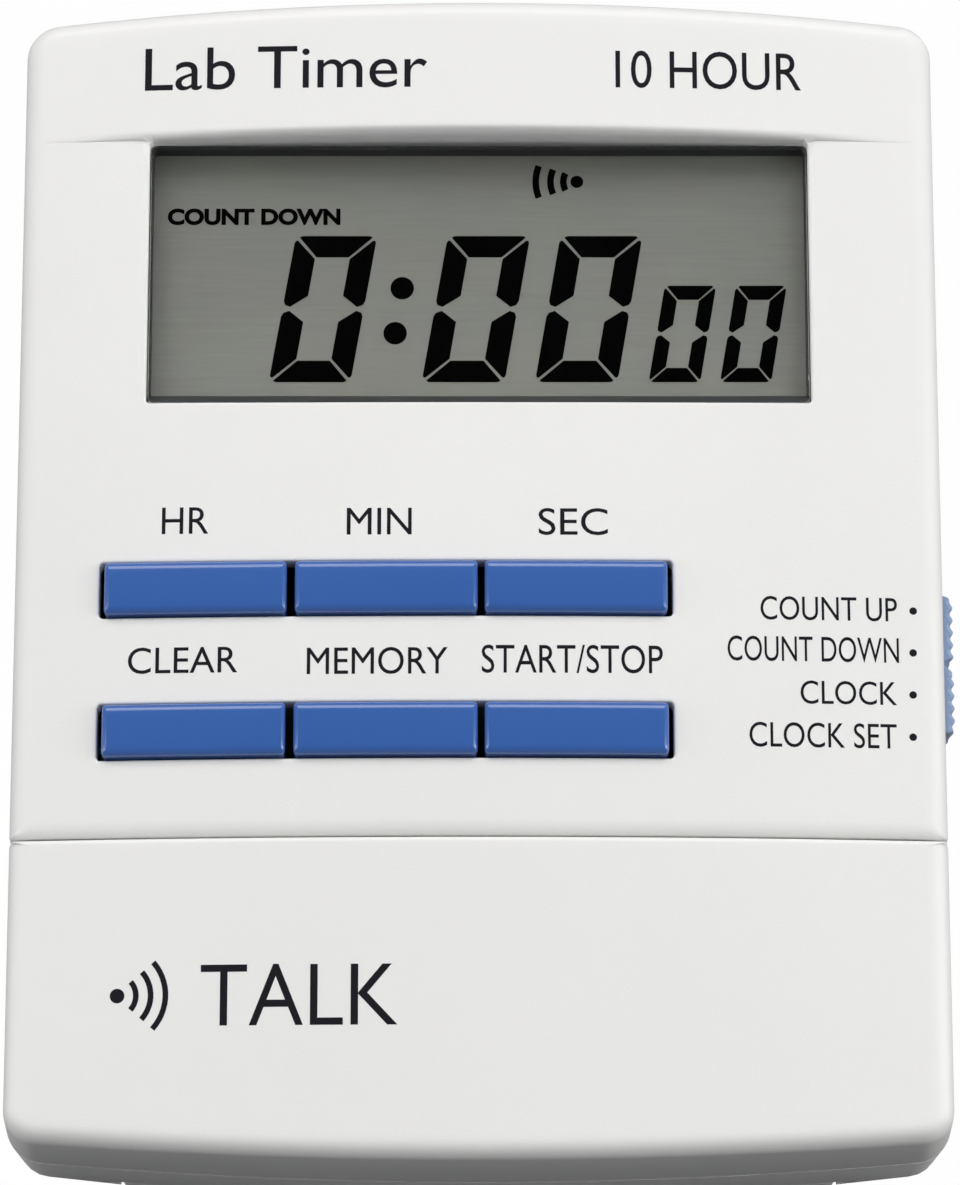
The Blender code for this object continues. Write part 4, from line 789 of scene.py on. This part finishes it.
def lcd_glass_material():
    """Reflector behind the glass: fine brushed lines along X, cloudy tone, and painted shade: darker at the
    top, where the brow's shadow falls, and lighter towards the keys."""
    made, nodes, shader = shader_material("display_grey")
    where, split = nodes.new("ShaderNodeTexCoord"), nodes.new("ShaderNodeSeparateXYZ")
    brow_shade_ramp, cloud, grain = (nodes.new(kind) for kind in
                          ("ShaderNodeMapRange", "ShaderNodeTexNoise", "ShaderNodeTexNoise"))
    brushed, streaks = nodes.new("ShaderNodeMapping"), nodes.new("ShaderNodeTexNoise")
    put_values(brushed, Scale=(0.04, 1.0, 1.0))
    put_values(streaks, Scale=5000.0, Detail=3.0)
    # Painted shade: the colour runs from dark under the brow, where its shadow falls, to lighter towards the
    # keys.
    put_values(brow_shade_ramp, From_Min=DISPLAY_HIGH_Y, From_Max=DISPLAY_LOW_Y, To_Min=0.0, To_Max=1.0)
    put_values(cloud, Scale=130.0, Detail=2.0)
    put_values(grain, Scale=16000.0, Detail=1.0)
    tone = colour_mix(nodes, A=(0.140, 0.139, 0.124, 1), B=(0.190, 0.188, 0.165, 1))
    haze = colour_mix(nodes, "MULTIPLY", Factor=0.12)
    lined = colour_mix(nodes, "MULTIPLY", Factor=0.22)
    relief = nodes.new("ShaderNodeBump")
    put_values(relief, Strength=0.3, Distance=0.000003)
    for noise in (cloud, grain):
        wire(where, "Object", noise, "Vector")
    wire(where, "Object", split, "Vector")
    wire(split, "Y", brow_shade_ramp, "Value")
    wire(brow_shade_ramp, "Result", tone, "Factor")
    wire(tone, "Result", haze, "A")
    wire(cloud, "Color", haze, "B")
    wire(where, "Object", brushed, "Vector")
    wire(brushed, "Vector", streaks, "Vector")
    wire(haze, "Result", lined, "A")
    wire(streaks, "Fac", lined, "B")
    wire(lined, "Result", shader, "Base Color")
    wire(grain, "Fac", relief, "Height")
    wire(relief, "Normal", shader, "Normal")
    put_values(shader, Roughness=0.42)
    return made


DISPLAY_GREY = lcd_glass_material()
SEGMENT_BLACK = moulded_plastic("segment_black", (0.001, 0.001, 0.001), (0.002, 0.002, 0.002), 0.6, wear=0.0,
                                Specular_IOR_Level=0.0)

DIGIT_HEIGHT, DIGIT_SLANT, DIGIT_WIDE = 0.01185, 0.169, 0.510


def segment_outlines():
    """The six lit segments of a nought in an upright digit 1 unit high and DIGIT_WIDE wide: the top bar and
    the upper left post with mitred gaps and pointed ends, mirrored across and then down."""
    wide, stroke = DIGIT_WIDE, 0.146
    bar_shape = [(0.026, 0.990), (0.044, 1.0), (wide - 0.044, 1.0), (wide - 0.026, 0.990),
                 (wide - stroke - 0.008, 1 - stroke), (stroke + 0.008, 1 - stroke)]
    post = [(0.0, 0.952), (0.007, 0.968), (0.020, 0.968), (stroke, 0.841), (stroke, 0.590), (0.046, 0.514),
            (0.012, 0.527), (0.0, 0.554)]
    outlines = [np.array(bar_shape), np.array(post), np.array([(wide - x, y) for x, y in post[::-1]])]
    return outlines + [np.stack([outline[::-1, 0], 1 - outline[::-1, 1]], 1) for outline in outlines]


def digit(low_x, low_y, high_x, height):
    """A nought that leans right: the unit outlines scaled to a box, and slid along X by slant times Y."""
    width_scale = (high_x - low_x - DIGIT_SLANT * height) / DIGIT_WIDE
    placed = []
    for outline in segment_outlines():
        y = outline[:, 1] * height
        placed.append(np.stack([low_x + outline[:, 0] * width_scale + DIGIT_SLANT * y, low_y + y], 1))
    return placed


def disc(x, y, radius, count=28):
    """A circle as an outline."""
    angle = np.linspace(0, 2 * math.pi, count, endpoint=False)
    return np.stack([x + radius * np.cos(angle), y + radius * np.sin(angle)], 1)


def arc_band(x, y, radius, width, spread, way):
    """A band of a ring round (x, y), open by spread each side of -X or +X."""
    angle = np.linspace(-spread, spread, 14)
    outer, inner = radius + width / 2, radius - width / 2
    ends = np.concatenate([np.stack([outer * np.cos(angle), outer * np.sin(angle)], 1),
                           np.stack([inner * np.cos(angle[::-1]), inner * np.sin(angle[::-1])], 1)])
    return np.stack([x + way * ends[:, 0], y + ends[:, 1]], 1)


def printed(name, outlines, surface, thickness, finish):
    """A thin closed layer for each outline: the same ring low and high, joined by a wall. surface gives the
    height that the layer lies on."""
    points, faces = [], []
    for outline in outlines:
        start, count = len(points), len(outline)
        base = surface(outline[:, 0], outline[:, 1])
        points += np.column_stack([outline, base]).tolist()
        points += np.column_stack([outline, base + thickness]).tolist()
        index = list(range(start, start + count))
        faces += [tuple(index[::-1]), tuple(i + count for i in index)]
        faces += [(index[i], index[(i + 1) % count], index[(i + 1) % count] + count, index[i] + count)
                  for i in range(count)]
    obj = surface_object(name, points, faces, finish, 30)
    mend(obj.data)
    return obj


def lettering(name, words, low, high, weight, surface, thickness, finish):
    """Blender's own font, thickened by weight, scaled to fill the box from low to high and laid on a
    surface as a thin closed layer."""
    text = bpy.data.curves.new(name, "FONT")
    text.body, text.offset, text.extrude, text.resolution_u = words, weight, 0.01, 5
    source = bpy.data.objects.new(name + "_source", text)
    bpy.context.scene.collection.objects.link(source)
    bpy.context.view_layer.update()
    mesh = bpy.data.meshes.new_from_object(source.evaluated_get(bpy.context.evaluated_depsgraph_get()))
    bpy.data.objects.remove(source)
    mend(mesh, 0.00001, cut=True)
    points = np.zeros(len(mesh.vertices) * 3)
    mesh.vertices.foreach_get("co", points)
    points = points.reshape(-1, 3)
    lowest, highest = points.min(0)[:2], points.max(0)[:2]
    scaled = np.asarray(low) + (points[:, :2] - lowest) / (highest - lowest) * (np.asarray(high) - low)
    z = surface(scaled[:, 0], scaled[:, 1]) + np.where(points[:, 2] > 0, thickness, 0)
    mesh.vertices.foreach_set("co", np.column_stack([scaled, z]).ravel())
    mesh.materials.clear()
    mesh.materials.append(finish)
    obj = bpy.data.objects.new(name, mesh)
    bpy.context.scene.collection.objects.link(obj)
    return obj


def on_glass(x, y):
    """Height of the liquid crystal glass."""
    return np.full(len(x), LCD_Z + 0.00001)


DIGIT_LOW_Y, SMALL_DIGIT_HEIGHT = 0.0156, 0.0078
noughts = []
for low_x, high_x in ((-0.01618, -0.00787), (-0.00440, 0.00400), (0.00433, 0.01270)):
    noughts += digit(low_x, DIGIT_LOW_Y, high_x, DIGIT_HEIGHT)
for low_x, high_x in ((0.01308, 0.01838), (0.01858, 0.02384)):
    noughts += digit(low_x, DIGIT_LOW_Y, high_x, SMALL_DIGIT_HEIGHT)
COLON_RADIUS = 0.00091
noughts += [disc(-0.00592, 0.02320, COLON_RADIUS), disc(-0.00645, 0.01955, COLON_RADIUS)]
sound_x, sound_y = 0.00763, 0.0319
noughts += [disc(sound_x, sound_y, 0.0005)]
noughts += [arc_band(sound_x + 0.0004, sound_y, radius, 0.00052, spread, -1)
            for radius, spread in ((0.00145, 0.50), (0.00245, 0.42), (0.00360, 0.37))]
segments = printed("display_segments", noughts, on_glass, SEGMENT_THICKNESS, SEGMENT_BLACK)
mode_words = lettering("display_mode_words", "COUNT DOWN", (-0.02415, 0.02835), (-0.01073, 0.02971), 0.045,
                       on_glass, SEGMENT_THICKNESS, SEGMENT_BLACK)
for piece in (segments, mode_words):
    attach(piece, "case")

# ------------------------------------------------------------------------------------------------
# Printing: black pad-printed lettering on the face. Key names stand over the keys, four positions beside
# the knob, and plain words in the header and on the talk bar.

INK_THICKNESS = 0.000012
INK_BLACK = moulded_plastic("ink_black", (0.010, 0.010, 0.014), (0.05, 0.05, 0.05), 0.6, bump=0.000004,
                            wear=0.0, spread=0.2, Specular_IOR_Level=0.08)


def on_face(x, y):
    """Height of the face under the ink."""
    return face_height(x, y) - 0.000002


def face_words(name, words, low, high, weight=0.0):
    """Lettering printed on the face in ink."""
    return lettering(name, words, low, high, weight, on_face, INK_THICKNESS, INK_BLACK)


KEY_WORDS = (("hour_word", "HR", -0.02404, 0.00264, -0.02050, 0.00474),
             ("minute_word", "MIN", -0.01000, 0.00248, -0.00508, 0.00460),
             ("second_word", "SEC", 0.00454, 0.00243, 0.00979, 0.00458),
             ("clear_word", "CLEAR", -0.02644, -0.00830, -0.01816, -0.00625),
             ("memory_word", "MEMORY", -0.01293, -0.00850, -0.00233, -0.00639),
             ("start_stop_words", "START/STOP", 0.00023, -0.00843, 0.01386, -0.00622))
KNOB_WORDS = (("count_up_words", "COUNT UP", 0.02128, -0.00412, 0.03164, -0.00225),
              ("count_down_words", "COUNT DOWN", 0.01875, -0.00735, 0.03172, -0.00538),
              ("clock_word", "CLOCK", 0.02421, -0.01063, 0.03150, -0.00881),
              ("clock_set_words", "CLOCK SET", 0.02031, -0.01400, 0.03143, -0.01207))
for name, words, low_x, low_y, high_x, high_y in KEY_WORDS + KNOB_WORDS:
    ink = face_words(name, words, (low_x, low_y), (high_x, high_y))
    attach(ink, "case")

knob_dots = [disc(0.03287 - 0.00007 * step, -0.00325 - 0.00327 * step, 0.00029) for step in range(4)]
dots = printed("position_dots", knob_dots, on_face, INK_THICKNESS, INK_BLACK)
title = face_words("title_words", "Lab Timer", (-0.0259, 0.0383), (-0.0040, 0.0418))
range_words = face_words("range_words", "10 HOUR", (0.0106, 0.0383), (0.0250, 0.0414))
for ink in (dots, title, range_words):
    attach(ink, "case")

TALK_SIGN_Y = -0.0329
talk_word = face_words("talk_word", "TALK", (-0.0206, -0.0352), (-0.0060, -0.0306), -0.004)
talk_arcs = [disc(-0.0268, TALK_SIGN_Y, 0.00055)]
talk_arcs += [arc_band(-0.0270, TALK_SIGN_Y, radius, 0.00042, 0.72, 1) for radius in (0.0016, 0.0027, 0.0038)]
talk_sign = printed("talk_sign", talk_arcs, on_face, INK_THICKNESS, INK_BLACK)
for ink in (talk_word, talk_sign):
    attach(ink, "talk_bar")

# ------------------------------------------------------------------------------------------------
# Inner parts and fasteners keep the frame's own shapes: board, chip, crystal, capacitor, key mat, strips,
# speaker, switches, leads, cells, contacts, springs, hinge pin, magnets and screws.

METAL = {"grain": 0.2, "flow": 1.0, "bump": 0.000006, "spread": 0.10, "grain_scale": 3000.0, "Metallic": 1.0}
INNER_FINISHES = {
    "board_green": moulded_plastic("board_green", (0.015, 0.13, 0.05), (0.20, 0.18, 0.08), 0.36, spread=0.25),
    "chip_epoxy": moulded_plastic("chip_epoxy", (0.018, 0.018, 0.018), (0.04, 0.04, 0.04), 0.50, flow=3.0),
    "silicone_grey": moulded_plastic("silicone_grey", (0.40, 0.41, 0.42), (0.46, 0.46, 0.46), 0.62, flow=2.0),
    "conductive_rubber": moulded_plastic("conductive_rubber", (0.08, 0.08, 0.09), (0.14, 0.14, 0.14), 0.72),
    "zinc_steel": moulded_plastic("zinc_steel", (0.56, 0.57, 0.58), (0.72, 0.72, 0.70), 0.30, **METAL),
    "nickel_plate": moulded_plastic("nickel_plate", (0.66, 0.64, 0.58), (0.80, 0.78, 0.72), 0.22, **METAL),
    "cone_paper": moulded_plastic("cone_paper", (0.05, 0.045, 0.04), (0.09, 0.08, 0.07), 0.90, bump=0.00004,
                                  grain_scale=2200.0),
    "ferrite": moulded_plastic("ferrite", (0.06, 0.06, 0.065), (0.12, 0.12, 0.12), 0.55, bump=0.00003),
    "cell_jacket": moulded_plastic("cell_jacket", (0.05, 0.19, 0.15), (0.25, 0.40, 0.36), 0.28, spread=0.15),
    "can_aluminium": moulded_plastic("can_aluminium", (0.72, 0.73, 0.74), (0.84, 0.84, 0.84), 0.28, **METAL),
    "red_lead": moulded_plastic("red_lead", (0.42, 0.018, 0.018), (0.5, 0.1, 0.1), 0.42),
    "black_lead": moulded_plastic("black_lead", (0.018, 0.018, 0.018), (0.06, 0.06, 0.06), 0.42),
    "case_white": CASE_WHITE, "key_blue": KEY_BLUE, "knob_blue": KNOB_BLUE, "clear_acrylic": clear_acrylic,
    "display_grey": DISPLAY_GREY, "black_plastic": BLACK_PLASTIC,
}
for part in frame["record"]["subparts"]:
    slots = frame["nodes"][part["node"]].data.materials
    slots.clear()
    slots.append(INNER_FINISHES[part["material_slot"]])
